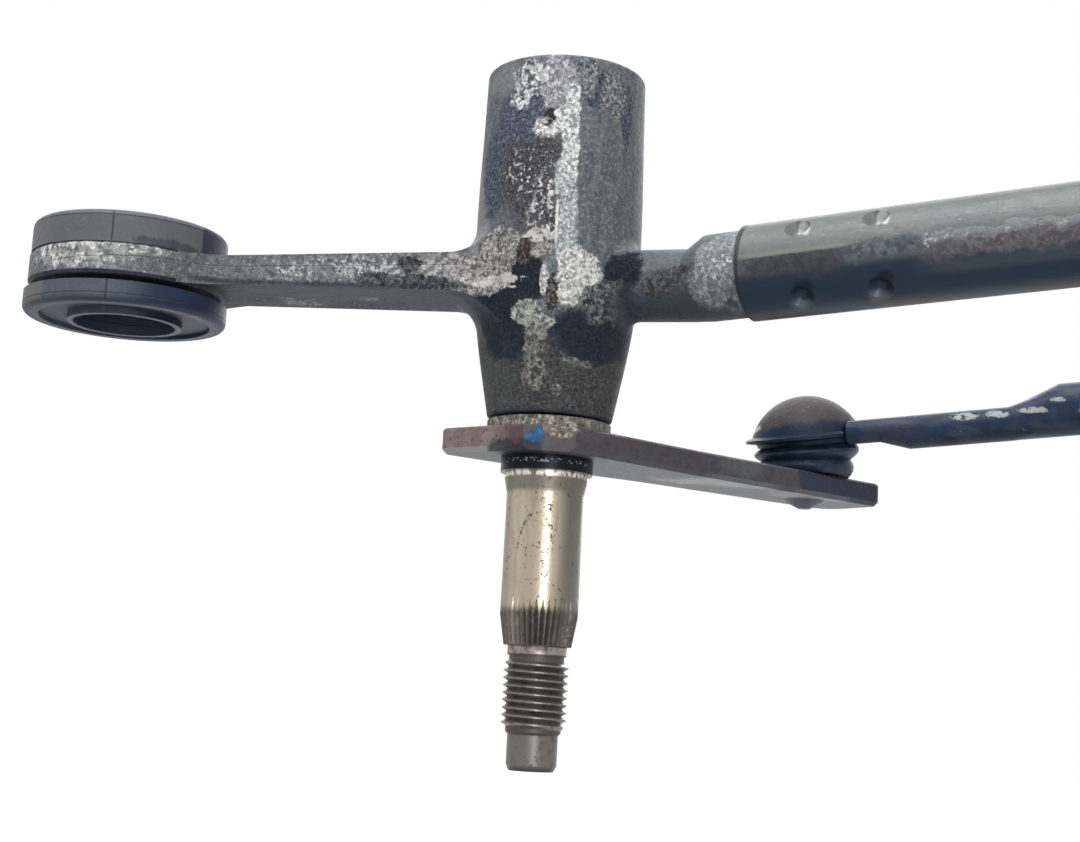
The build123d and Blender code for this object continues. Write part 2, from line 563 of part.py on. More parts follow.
def cap(side):
    """Pressed steel dome, turned in under the eyelet and notched for the link's flat end."""
    centre, outer = dome_centre(), dome_radius()
    brim_z = CAP_RIM_Z - CAP_BRIM_THICKNESS
    dome = Pos(0, 0, centre) * Sphere(outer) & disc(2 * outer, CAP_RIM_Z, 2 * outer)
    skirt = turned([
        (0, -CAP_LIP_DROP), (CAP_LIP_R, -CAP_LIP_DROP),
        (CAP_LIP_R + CAP_SKIRT_FLARE, brim_z - CAP_SKIRT_HEIGHT),
        (CAP_BRIM_R, brim_z - CAP_BRIM_THICKNESS), (CAP_BRIM_R, brim_z),
        (CAP_RIM_R, CAP_RIM_Z), (0, CAP_RIM_Z)])
    inside = Pos(0, 0, centre) * Sphere(outer - CAP_SHEET)
    body = dome + skirt - (inside & disc(2 * outer, EYELET_THICKNESS / 2, 2 * outer))
    body -= disc(CAP_LIP_HOLE_R, -CAP_LIP_DROP, CAP_LIP_DROP)
    notch_x = EYELET_R + SEATED + CAP_RIM_R / 2
    notch = Pos(side * notch_x, 0, FLAT_TOP - END_THICKNESS / 2) * Box(
        CAP_RIM_R, END_WIDTH + 2 * SEATED, END_THICKNESS + 2 * SEATED)
    trim = Pos(side * (CAP_LIP_R + SEATED + CAP_RIM_R / 2), 0, CAP_RIM_Z - CAP_RIM_R / 2) * Box(
        CAP_RIM_R, 3 * CAP_RIM_R, CAP_RIM_R)
    room = disc(EYELET_R + SEATED, -EYELET_THICKNESS / 2, EYELET_THICKNESS)
    room += Pos(side * EYELET_R, 0, 0) * Box(EYELET_R, TONGUE_WIDTH + 2 * SEATED, EYELET_THICKNESS)
    return body - (room + notch) - trim


def between(foot, top, share):
    """Plane part of the way from the boot's foot to its top."""
    normal = foot.z_dir * (1 - share) + top.z_dir * share
    return Plane(foot.origin * (1 - share) + top.origin * share, foot.x_dir, normal)


def boot(foot, top):
    """Rubber boot of round rolls, lofted between the planes of its foot and its top."""
    rings = len(BOOT_ROLLS) * BOOT_STEPS
    planes = [between(foot, top, i / rings) for i in range(rings + 1)]
    radii = [BOOT_FOOT_R + (BOOT_TOP_R - BOOT_FOOT_R) * i / rings for i in range(rings + 1)]
    for i in range(rings):
        radii[i] += BOOT_ROLLS[i // BOOT_STEPS] * sin(pi * (i % BOOT_STEPS) / BOOT_STEPS)
    outside = loft([plane * Circle(r) for plane, r in zip(planes, radii)], ruled=True)
    inside = loft([plane * Circle(r - BOOT_WALL) for plane, r in zip(planes[2:], radii[2:])], ruled=True)
    foot_hole = loft([plane * Circle(BOOT_FOOT_HOLE_R) for plane in (planes[0], planes[2])])
    return outside - inside - foot_hole


def main():
    os.makedirs("parts", exist_ok=True)
    near = LINK_FRAME.location
    far = near * Pos(LINK_LENGTH, 0, 0)
    boot_foot = Plane(origin=(BALL.X, BALL.Y, LEVER_TOP + FREE))
    cap_bottom = Plane.XY.offset(-CAP_LIP_DROP)
    free_foot = Plane.XY.offset(-CAP_LIP_DROP - BOOT_FREE_HEIGHT)
    pieces = {
        "pivot_housing": pivot_housing(),
        "frame_tube": frame_tube(),
        "mount_grommet": mount_grommet(),
        "grommet_sleeve": grommet_sleeve(),
        "lower_bush": lower_bush(),
        "upper_bush": upper_bush(),
        "shaft_seal": shaft_seal(),
        "spindle": spindle(),
        "crank_lever": crank_lever(),
        "ball_stud": ball_stud(),
        "lower_thrust_washer": lower_thrust_washer(),
        "upper_thrust_washer": upper_thrust_washer(),
        "spring_washer": spring_washer(),
        "retaining_ring": retaining_ring(),
        "drive_link": drive_link(),
        "crank_socket_cup": near * cup(),
        "crank_socket_cap": near * cap(1),
        "crank_ball_boot": boot(boot_foot, Plane(near * cap_bottom.location)),
        "motor_socket_cup": far * cup(),
        "motor_socket_cap": far * cap(-1),
        "motor_ball_boot": far * boot(free_foot, cap_bottom),
    }
    for name, shape in pieces.items():
        export_step(shape, f"parts/{name}.step")


main()
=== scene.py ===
import math

import bpy
from mathutils import Matrix, Vector


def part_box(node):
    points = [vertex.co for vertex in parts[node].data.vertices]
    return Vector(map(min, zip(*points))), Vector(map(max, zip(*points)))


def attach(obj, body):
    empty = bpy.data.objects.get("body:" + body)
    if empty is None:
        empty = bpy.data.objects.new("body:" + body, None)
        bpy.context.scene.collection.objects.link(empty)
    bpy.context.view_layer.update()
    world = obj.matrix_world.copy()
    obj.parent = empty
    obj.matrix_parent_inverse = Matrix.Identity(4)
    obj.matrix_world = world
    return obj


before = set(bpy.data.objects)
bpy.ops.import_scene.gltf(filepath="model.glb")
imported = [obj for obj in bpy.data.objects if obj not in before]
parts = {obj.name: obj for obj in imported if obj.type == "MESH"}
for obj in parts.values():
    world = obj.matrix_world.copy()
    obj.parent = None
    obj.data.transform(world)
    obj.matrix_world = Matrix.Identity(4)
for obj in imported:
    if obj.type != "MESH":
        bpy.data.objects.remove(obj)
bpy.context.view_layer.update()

MM = 0.001

# Places and slopes on the part, in the record's frame, with lengths in millimetres
THREAD_TOP = -6.1
THREAD_BOTTOM = -17.8
THREAD_PITCH = 1.25
THREAD_ROOT_R = 4.2
THREAD_CREST_R = 4.97
THREAD_END = 0.6
BARREL_SIDES = (-14.2, 13.8)
TUBE_DIRECTION = math.radians(-28.5)
TUBE_SLOPE = math.tan(math.radians(2.7))
TUBE_LINE_HEIGHT = 50.4
TUBE_STAIN_WANDER = 1.3
ARM_ARRIS_SLOPE = -0.0261
ARM_SEAM_SLOPE = -0.065
EYE_X = -67.8
CAP_RIM_TILT = -0.14

# The thread ridge's section, as the share of its height and the rise from its middle line
RIDGE_SECTION = ((0.0, 0.58), (1.0, 0.10), (1.0, -0.10), (0.0, -0.58))
RIDGE_STEPS_PER_TURN = 56
RIDGE_GROWTH_PER_TURN = 1.4

# Camera and floor, in millimetres and degrees
CAMERA_PLACE = (-1.45, -267.0, -11.9)
CAMERA_PITCH = 9.0
CAMERA_ROLL = 3.1
LENS = 57.47
SENSOR_WIDTH = 36.0
FLOOR_HEIGHT = -125.0

# Floor reach, and the distances between which its glow grows, in metres
FLOOR_REACH = 3.0
GLOW_STARTS, GLOW_FULL = 0.2, 0.7

# Floor colour, its glow near and far, and the world's light on the object
FLOOR_GREY = 0.30
GLOW_NEAR, GLOW_FAR = 0.62, 0.93
WORLD_LIGHT = 0.26

# The noise lies nearly all between these values, so its edge wobble is scaled up to match
NOISE_LOW, NOISE_HIGH = 0.28, 0.72
WOBBLE_SCALE = 4.0


# Shader helpers

def wire(tree, value, socket):
    """Link a socket, or set a plain value."""
    if isinstance(value, bpy.types.NodeSocket):
        tree.links.new(value, socket)
    else:
        socket.default_value = value


def put(tree, kind, sockets=None, **settings):
    """Add a node, with its settings and its inputs by name or number."""
    node = tree.nodes.new(kind)
    for key, value in settings.items():
        setattr(node, key, value)
    for key, value in (sockets or {}).items():
        wire(tree, value, node.inputs[key])
    return node


def maths(tree, operation, a, b=0.0):
    """A sum of two masks, held between 0 and 1."""
    node = put(tree, "ShaderNodeMath", {0: a, 1: b}, operation=operation, use_clamp=True)
    return node.outputs[0]


def open_maths(tree, operation, a, b=0.0):
    """A sum that may leave the range from 0 to 1."""
    return put(tree, "ShaderNodeMath", {0: a, 1: b}, operation=operation).outputs[0]


def layer(tree, mask, under, over):
    """The colour over laid on the colour under where the mask is."""
    mix = put(tree, "ShaderNodeMix", data_type="RGBA")
    wire(tree, mask, mix.inputs[0])
    wire(tree, under, mix.inputs[6])
    wire(tree, over, mix.inputs[7])
    return mix.outputs[2]


def ramp(tree, value, low, high, low_out=0.0, high_out=1.0):
    """A smooth change from low_out to high_out as the value goes from low to high."""
    sockets = {0: value, 1: low, 2: high, 3: low_out, 4: high_out}
    return put(tree, "ShaderNodeMapRange", sockets, interpolation_type="SMOOTHSTEP").outputs[0]


def rgb(red, green, blue):
    return (red, green, blue, 1.0)


def new_group(name, inputs, outputs):
    """An empty node group with named sockets; returns it with its input and output nodes."""
    group = bpy.data.node_groups.new(name, "ShaderNodeTree")
    for label, kind, default in inputs:
        socket = group.interface.new_socket(label, in_out="INPUT", socket_type=kind)
        socket.default_value = default
    for label, kind in outputs:
        group.interface.new_socket(label, in_out="OUTPUT", socket_type=kind)
    return group, group.nodes.new("NodeGroupInput"), group.nodes.new("NodeGroupOutput")


def group_noise(group, given, size_socket, detail, roughness):
    """Noise inside a group, its grain size in millimetres taken from a socket."""
    per_metre = open_maths(group, "DIVIDE", 1 / MM, given.outputs[size_socket])
    noise = put(group, "ShaderNodeTexNoise", {
        "Vector": given.outputs["Vector"], "Scale": per_metre,
        "Detail": detail, "Roughness": roughness})
    return noise.outputs["Fac"]


def flecks_group():
    """Patches of noise that cover a share of the surface, with a soft or a crisp edge."""
    group, given, made = new_group(
        "flecks",
        [("Vector", "NodeSocketVector", (0, 0, 0)), ("Size mm", "NodeSocketFloat", 2.0),
         ("Share", "NodeSocketFloat", 0.3), ("Softness", "NodeSocketFloat", 0.05)],
        [("Mask", "NodeSocketFloat")])
    noise = group_noise(group, given, "Size mm", detail=5.0, roughness=0.62)
    level = ramp(group, given.outputs["Share"], 0.0, 1.0, NOISE_HIGH, NOISE_LOW)
    low = open_maths(group, "SUBTRACT", level, given.outputs["Softness"])
    high = open_maths(group, "ADD", level, given.outputs["Softness"])
    wire(group, ramp(group, noise, low, high), made.inputs["Mask"])
    return group


def patch_group():
    """One ragged patch about a centre, with a reach along each axis."""
    group, given, made = new_group(
        "patch",
        [("Vector", "NodeSocketVector", (0, 0, 0)), ("Centre", "NodeSocketVector", (0, 0, 0)),
         ("Reach", "NodeSocketVector", (1, 1, 1)), ("Ragged", "NodeSocketFloat", 0.5),
         ("Grain mm", "NodeSocketFloat", 2.0), ("Softness", "NodeSocketFloat", 0.1)],
        [("Mask", "NodeSocketFloat")])
    away = put(group, "ShaderNodeVectorMath", {
        0: given.outputs["Vector"], 1: given.outputs["Centre"]}, operation="SUBTRACT").outputs[0]
    scaled = put(group, "ShaderNodeVectorMath", {
        0: away, 1: given.outputs["Reach"]}, operation="DIVIDE").outputs[0]
    distance = put(group, "ShaderNodeVectorMath", {0: scaled}, operation="LENGTH").outputs["Value"]
    noise = group_noise(group, given, "Grain mm", detail=8.0, roughness=0.72)
    strength = open_maths(group, "MULTIPLY", given.outputs["Ragged"], WOBBLE_SCALE)
    wobble = open_maths(group, "MULTIPLY", open_maths(group, "SUBTRACT", noise, 0.5), strength)
    edge = open_maths(group, "ADD", distance, wobble)
    low = open_maths(group, "SUBTRACT", 1.0, given.outputs["Softness"])
    high = open_maths(group, "ADD", 1.0, given.outputs["Softness"])
    wire(group, ramp(group, edge, low, high, 1.0, 0.0), made.inputs["Mask"])
    return group


def underside_group():
    """A mask that grows as the surface's upward lean goes from one value to the other."""
    group, given, made = new_group(
        "underside", [("From", "NodeSocketFloat", 0.2), ("To", "NodeSocketFloat", -0.8)],
        [("Mask", "NodeSocketFloat")])
    normal = put(group, "ShaderNodeNewGeometry").outputs["Normal"]
    up = put(group, "ShaderNodeSeparateXYZ", {0: normal}).outputs["Z"]
    wire(group, ramp(group, up, given.outputs["From"], given.outputs["To"]), made.inputs["Mask"])
    return group


FLECKS = flecks_group()
PATCH = patch_group()
UNDERSIDE = underside_group()


class Finish:
    """A material being mixed: colour, roughness and height start plain and gain layers.

    Sizes and places are in millimetres, and a mask is a value from 0 to 1 over the surface.
    """

    def __init__(self, name, colour, roughness, metallic=0.0, specular=0.5):
        self.material = bpy.data.materials.new(name)
        self.material.use_nodes = True
        self.tree = self.material.node_tree
        self.shader = self.tree.nodes["Principled BSDF"]
        self.shader.inputs["Metallic"].default_value = metallic
        self.shader.inputs["Specular IOR Level"].default_value = specular
        self.vector = put(self.tree, "ShaderNodeTexCoord").outputs["Object"]
        self.colour = rgb(*colour)
        self.roughness = roughness
        self.height = None

    # Sums

    def plus(self, a, b):
        return open_maths(self.tree, "ADD", a, b)

    def minus(self, a, b):
        return open_maths(self.tree, "SUBTRACT", a, b)

    def times(self, a, b):
        return open_maths(self.tree, "MULTIPLY", a, b)

    def both(self, mask, *others):
        """Where every one of the masks is."""
        for other in others:
            mask = maths(self.tree, "MULTIPLY", mask, other)
        return mask

    def either(self, a, b):
        return maths(self.tree, "MAXIMUM", a, b)

    def less(self, a, b):
        return maths(self.tree, "SUBTRACT", a, b)

    # Places

    def along(self, axis):
        """The place along an axis."""
        axes = put(self.tree, "ShaderNodeSeparateXYZ", {0: self.vector})
        return self.times(axes.outputs[axis], 1 / MM)

    def radius(self, x, y):
        """The distance from an upright line."""
        across = open_maths(self.tree, "POWER", self.minus(self.along("X"), x), 2.0)
        deep = open_maths(self.tree, "POWER", self.minus(self.along("Y"), y), 2.0)
        return open_maths(self.tree, "SQRT", self.plus(across, deep))

    # Masks

    def ramp(self, value, start, end):
        """A mask that grows from nothing at the start to full at the end."""
        return ramp(self.tree, value, start, end)

    def band(self, value, low, high, soft=0.2):
        """A mask between two values."""
        rise = ramp(self.tree, value, low - soft, low + soft)
        fall = ramp(self.tree, value, high - soft, high + soft, 1.0, 0.0)
        return self.both(rise, fall)

    def group(self, group, **sockets):
        node = put(self.tree, "ShaderNodeGroup")
        node.node_tree = group
        for key, value in sockets.items():
            wire(self.tree, value, node.inputs[key.replace("_", " ")])
        return node.outputs["Mask"]

    def flecks(self, size, cover, soft=0.05, stretch=(1, 1, 1)):
        """Noise patches over a share of the surface, drawn out along the axes by the stretch."""
        vector = self.vector
        if stretch != (1, 1, 1):
            squeeze = tuple(1 / s for s in stretch)
            vector = put(self.tree, "ShaderNodeVectorMath", {0: vector, 1: squeeze},
                         operation="MULTIPLY").outputs[0]
        return self.group(FLECKS, Vector=vector, Size_mm=size, Share=cover, Softness=soft)

    def patch(self, centre, reach, ragged=0.4, grain=2.0, soft=0.1):
        """One patch about a centre; its edge wanders as far as ragged says, in steps of a grain."""
        return self.group(
            PATCH, Vector=self.vector, Centre=tuple(v * MM for v in centre),
            Reach=tuple(v * MM for v in reach), Ragged=ragged, Grain_mm=grain, Softness=soft)

    def patches(self, places, ragged=0.4, grain=2.0, soft=0.1):
        """Several patches as one mask, from pairs of centre and reach."""
        mask = 0.0
        for centre, reach in places:
            mask = self.either(mask, self.patch(centre, reach, ragged, grain, soft))
        return mask

    def underside(self, start, end):
        """A mask by the lean of the surface: 1 faces up, 0 is upright and -1 faces down."""
        return self.group(UNDERSIDE, From=start, To=end)

    # Layers

    def lay(self, mask, colour, roughness=None, share=None):
        """Lay a colour, and a roughness, where the mask is, thinned to a share of it."""
        if share is not None:
            mask = self.both(mask, share)
        self.colour = layer(self.tree, mask, self.colour, rgb(*colour))
        if roughness is not None:
            mix = put(self.tree, "ShaderNodeMix", data_type="FLOAT")
            wire(self.tree, mask, mix.inputs[0])
            wire(self.tree, self.roughness, mix.inputs[2])
            wire(self.tree, roughness, mix.inputs[3])
            self.roughness = mix.outputs[0]

    def mottle(self, colour, roughness=None, within=None, share=None, **grain):
        """Lay flecks, described as for flecks, all over or within a mask."""
        mask = self.flecks(**grain)
        if within is not None:
            mask = self.both(mask, within)
        self.lay(mask, colour, roughness, share)

    def grit(self, mask, colour, pits, grains, size=0.8, roughness=None, share=None):
        """A rough layer: a colour with darker pits and paler grains in it."""
        if share is not None:
            mask = self.both(mask, share)
        self.lay(mask, colour, roughness)
        self.mottle(pits, within=mask, size=size, cover=0.50)
        self.mottle(grains, within=mask, size=size * 0.8, cover=0.42)

    def raise_by(self, mask, height):
        """Raise the surface where the mask is."""
        step = self.times(mask, height * MM)
        self.height = step if self.height is None else self.plus(self.height, step)

    def done(self):
        wire(self.tree, self.colour, self.shader.inputs["Base Color"])
        wire(self.tree, self.roughness, self.shader.inputs["Roughness"])
        if self.height is not None:
            bump = put(self.tree, "ShaderNodeBump", {
                "Height": self.height, "Strength": 1.0, "Distance": 1.0})
            wire(self.tree, bump.outputs["Normal"], self.shader.inputs["Normal"])
        return self.material


# Finishes

def cast_housing_finish():
    """Weathered die-cast aluminium: smooth grey flanks, a pitted dark coat and white oxide."""
    f = Finish("cast aluminium, pitted", (0.150, 0.168, 0.184), 0.5, metallic=0.12, specular=0.15)
    x, y, z = f.along("X"), f.along("Y"), f.along("Z")
    on_barrel = f.band(x, *BARREL_SIDES, soft=0.8)
    pores = f.flecks(size=0.55, cover=0.46, soft=0.08)
    f.mottle((0.20, 0.218, 0.228), 0.45, size=5, cover=0.45, soft=0.15, share=0.5)
    f.mottle((0.084, 0.096, 0.118), size=1.3, cover=0.48, soft=0.12, stretch=(1, 1, 7),
             within=on_barrel, share=0.8)
    f.mottle((0.235, 0.255, 0.27), size=2.6, cover=0.36, soft=0.15, stretch=(1, 1, 3),
             within=on_barrel, share=0.7)
    f.lay(pores, (0.058, 0.068, 0.080), share=0.55)
    f.mottle((0.30, 0.32, 0.33), size=0.6, cover=0.38, share=0.6)
    barrel_dark_coat(f)
    barrel_crusts(f)
    skirt = f.both(f.ramp(z, 43.5, 40.5), on_barrel)
    f.grit(skirt, (0.062, 0.057, 0.052), (0.023, 0.022, 0.023), (0.150, 0.130, 0.108),
           size=0.6, roughness=0.6, share=0.92)
    pale_skirt = f.patch((-8.8, -8, 33), (3.2, 7, 9), ragged=0.3, grain=3.0, soft=0.35)
    f.grit(pale_skirt, (0.098, 0.095, 0.094), (0.045, 0.043, 0.044), (0.175, 0.165, 0.155),
           size=0.6, roughness=0.55, share=0.5)
    root_coats(f)
    arm_wear_and_shade(f, x, y, z)
    neck_wear_and_shade(f, x)
    back_wear(f, y)
    f.raise_by(pores, 0.03)
    f.raise_by(f.flecks(size=0.8, cover=0.5, soft=0.2), 0.09)
    return f.done()


def barrel_dark_coat(f):
    """The last of the dark coat on the barrel's upper left, flecked white where it has lifted."""
    pale_flank = f.patches([((-12.4, -4, 60), (1.7, 8, 9)), ((-9.5, -8, 83), (3.2, 6, 2.4))],
                           ragged=0.25, grain=3.0, soft=0.25)
    f.lay(pale_flank, (0.25, 0.26, 0.262), 0.4, share=0.7)
    navy = f.patches([((-6.6, -11, 72.4), (5.6, 9, 8.4)), ((-10.2, -8, 68), (2.6, 6, 7)),
                      ((5.8, -12, 82.3), (1.6, 5, 1.9)), ((4.3, -12, 79.3), (1.8, 5, 1.7)),
                      ((2.9, -12, 83.0), (1.1, 5, 1.2)), ((9.6, -9, 78), (0.9, 6, 5))],
                     ragged=0.32, grain=4.0, soft=0.14)
    f.grit(navy, (0.080, 0.098, 0.132), (0.028, 0.036, 0.058), (0.175, 0.205, 0.245),
           size=0.6, roughness=0.6, share=0.92)
    brown = f.patches([((-5.2, -12, 65.3), (4.4, 8, 6.4)), ((-2.4, -12, 70.6), (2.4, 6, 2.4)),
                       ((-3.5, -12, 59.5), (3.6, 8, 3.6))], ragged=0.5, grain=4.0, soft=0.30)
    f.grit(brown, (0.074, 0.068, 0.076), (0.026, 0.025, 0.031), (0.155, 0.15, 0.158),
           size=0.5, roughness=0.65, share=0.85)
    lifted = f.both(f.patch((-4.0, -12, 66.6), (4.2, 8, 4.2), ragged=0.5, grain=4.0, soft=0.45),
                    f.flecks(size=0.8, cover=0.38, soft=0.03))
    dense = f.both(f.patch((-1.9, -12, 60.4), (2.8, 8, 5.2), ragged=0.5, grain=4.0, soft=0.45),
                   f.flecks(size=0.75, cover=0.43, soft=0.04))
    stars = f.either(lifted, dense)
    f.lay(stars, (0.80, 0.80, 0.79), 0.7)
    f.raise_by(stars, 0.15)


def barrel_crusts(f):
    """White and grey oxide under the top rim and down the front."""
    grey_rim = f.patches([((2.2, -12, 82.2), (2.6, 5, 3.6)), ((7.4, -11, 80.5), (2.2, 5, 3.8))],
                         ragged=0.55, grain=3.0, soft=0.12)
    f.grit(grey_rim, (0.20, 0.215, 0.218), (0.070, 0.080, 0.092), (0.40, 0.415, 0.41),
           size=0.7, roughness=0.7)
    lilac_rim = f.patch((-1.4, -13, 81.6), (2.9, 5, 4.4), ragged=0.5, grain=3.0, soft=0.12)
    f.grit(lilac_rim, (0.40, 0.395, 0.42), (0.20, 0.198, 0.21), (0.66, 0.66, 0.67),
           size=0.7, roughness=0.75)
    white_rim = f.patches([((-5.6, -12, 82.4), (2.6, 5, 3.0)), ((-7.2, -11, 79.6), (1.6, 4, 1.8))],
                          ragged=0.65, grain=2.4, soft=0.08)
    f.grit(white_rim, (0.52, 0.52, 0.525), (0.10, 0.105, 0.115), (0.90, 0.90, 0.90),
           size=0.9, roughness=0.75)
    streak = f.patches([((1.1, -13, 78.0), (1.1, 4, 4.0)), ((1.0, -13, 72.3), (1.5, 4, 4.4)),
                        ((0.6, -13, 67.2), (1.7, 4, 4.2)), ((-2.9, -13, 74.1), (2.0, 4, 1.9)),
                        ((-0.6, -13, 75.8), (1.6, 4, 1.7))], ragged=0.55, grain=2.4, soft=0.10)
    f.grit(streak, (0.70, 0.72, 0.72), (0.31, 0.32, 0.315), (1.0, 1.0, 1.0),
           size=0.65, roughness=0.75)
    hollow = f.patch((-2.2, -13, 75.6), (1.4, 4, 1.4), ragged=0.5, grain=1.6)
    f.mottle((0.035, 0.032, 0.032), 0.7, size=1.4, cover=0.5, soft=0.04, within=hollow)
    low_streak = f.patches([((0.9, -13, 61.6), (1.4, 4, 4.8)), ((0.9, -13, 56.6), (1.5, 4, 3.4))],
                           ragged=0.5, grain=3.0, soft=0.22)
    f.grit(low_streak, (0.49, 0.52, 0.53), (0.23, 0.25, 0.262), (0.86, 0.88, 0.88),
           size=0.65, roughness=0.65, share=0.9)
    scratch = f.patch((-0.55, -13, 58.8), (0.22, 4, 3.8), ragged=0.12, grain=3.0)
    f.lay(scratch, (0.88, 0.87, 0.83), 0.6)
    f.raise_by(streak, 0.16)


def root_coats(f):
    """Where the arm and the neck leave the barrel: black coat, lilac-grey crust, white bloom."""
    black = f.patches([((-4.8, -12, 49.8), (3.2, 7, 3.7)), ((-9.4, -10, 45.6), (4.4, 7, 4.2)),
                       ((-7.3, -11, 41.5), (3.6, 8, 3.6)), ((6.4, -11, 42.6), (7.2, 8, 4.2)),
                       ((10.2, -8, 51.8), (3.8, 7, 4.0)), ((11.0, -6, 44.5), (3.6, 7, 4.8))],
                      ragged=0.28, grain=4.0, soft=0.14)
    f.grit(black, (0.004, 0.008, 0.017), (0.002, 0.003, 0.006), (0.020, 0.030, 0.048),
           size=0.55, roughness=0.6, share=0.98)
    f.mottle((0.14, 0.16, 0.19), 0.7, size=0.9, cover=0.20, soft=0.03, within=black, share=0.6)
    root = f.patches([((-12.6, -9, 51.2), (5.6, 7, 3.2)), ((-9.2, -11, 55.4), (4.0, 7, 3.2)),
                      ((-17, -8, 52.4), (4.6, 6, 2.6)), ((-3.4, -12, 55.8), (3.0, 6, 2.2))],
                     ragged=0.32, grain=3.2, soft=0.06)
    f.grit(root, (0.34, 0.325, 0.325), (0.12, 0.112, 0.11), (0.55, 0.54, 0.535),
           size=0.7, roughness=0.7)
    lip = f.patches([((-9.0, -11, 50.2), (4.4, 5, 1.2)), ((-3.6, -12, 57.0), (2.6, 5, 1.2)),
                     ((-15, -9, 49.8), (3.0, 5, 1.0))], ragged=0.6, grain=1.8)
    f.mottle((0.70, 0.69, 0.67), 0.75, size=1.2, cover=0.5, within=lip)
    brown_nick = f.patch((-5.3, -12, 54.6), (1.2, 5, 2.0), ragged=0.4, grain=1.8, soft=0.08)
    f.grit(brown_nick, (0.050, 0.042, 0.038), (0.018, 0.015, 0.014), (0.16, 0.14, 0.13),
           size=0.6, roughness=0.65)
    grey_root = f.patch((7.0, -11, 47.6), (3.6, 6, 3.2), ragged=0.55, grain=3.2, soft=0.14)
    f.grit(grey_root, (0.16, 0.168, 0.165), (0.030, 0.034, 0.040), (0.33, 0.345, 0.34),
           size=1.0, roughness=0.7)
    bloom = f.patches([((2.1, -13, 51.0), (2.7, 5, 4.4)), ((-2.0, -13, 49.8), (0.75, 4, 2.6)),
                       ((4.6, -12, 51.8), (2.2, 4, 2.6))], ragged=0.5, grain=3.0, soft=0.08)
    f.grit(bloom, (0.72, 0.72, 0.70), (0.34, 0.34, 0.33), (1.0, 1.0, 0.98),
           size=0.7, roughness=0.75)
    pocket = f.patch((-0.7, -13, 48.0), (1.0, 4, 3.2), ragged=0.5, grain=1.6)
    f.grit(f.both(pocket, f.flecks(size=1.2, cover=0.62, soft=0.06)),
           (0.050, 0.040, 0.035), (0.015, 0.013, 0.012), (0.22, 0.20, 0.17), size=0.6)
    pale_knot = f.patches([((-4.4, -13, 45.4), (2.3, 5, 1.9)), ((-2.2, -13, 43.6), (2.2, 5, 1.6))],
                          ragged=0.6, grain=2.4, soft=0.08)
    f.grit(pale_knot, (0.43, 0.445, 0.415), (0.12, 0.12, 0.11), (0.70, 0.71, 0.68),
           size=0.8, roughness=0.75)
    tail = f.patches([((-2.7, -12, 41.0), (1.8, 5, 3.2)), ((-2.9, -12, 36.6), (1.6, 5, 3.2)),
                      ((0.7, -12, 33.6), (0.9, 4, 0.9))], ragged=0.65, grain=2.2, soft=0.12)
    f.grit(tail, (0.225, 0.22, 0.20), (0.050, 0.045, 0.040), (0.46, 0.45, 0.42),
           size=0.8, roughness=0.7, share=0.92)
    dash = f.patch((3.4, -12, 37.9), (2.7, 4, 0.7), ragged=0.65, grain=1.8, soft=0.15)
    f.grit(dash, (0.20, 0.20, 0.18), (0.05, 0.05, 0.045), (0.38, 0.38, 0.35),
           size=0.6, share=0.85)
    f.raise_by(root, 0.12)
    f.raise_by(bloom, 0.16)


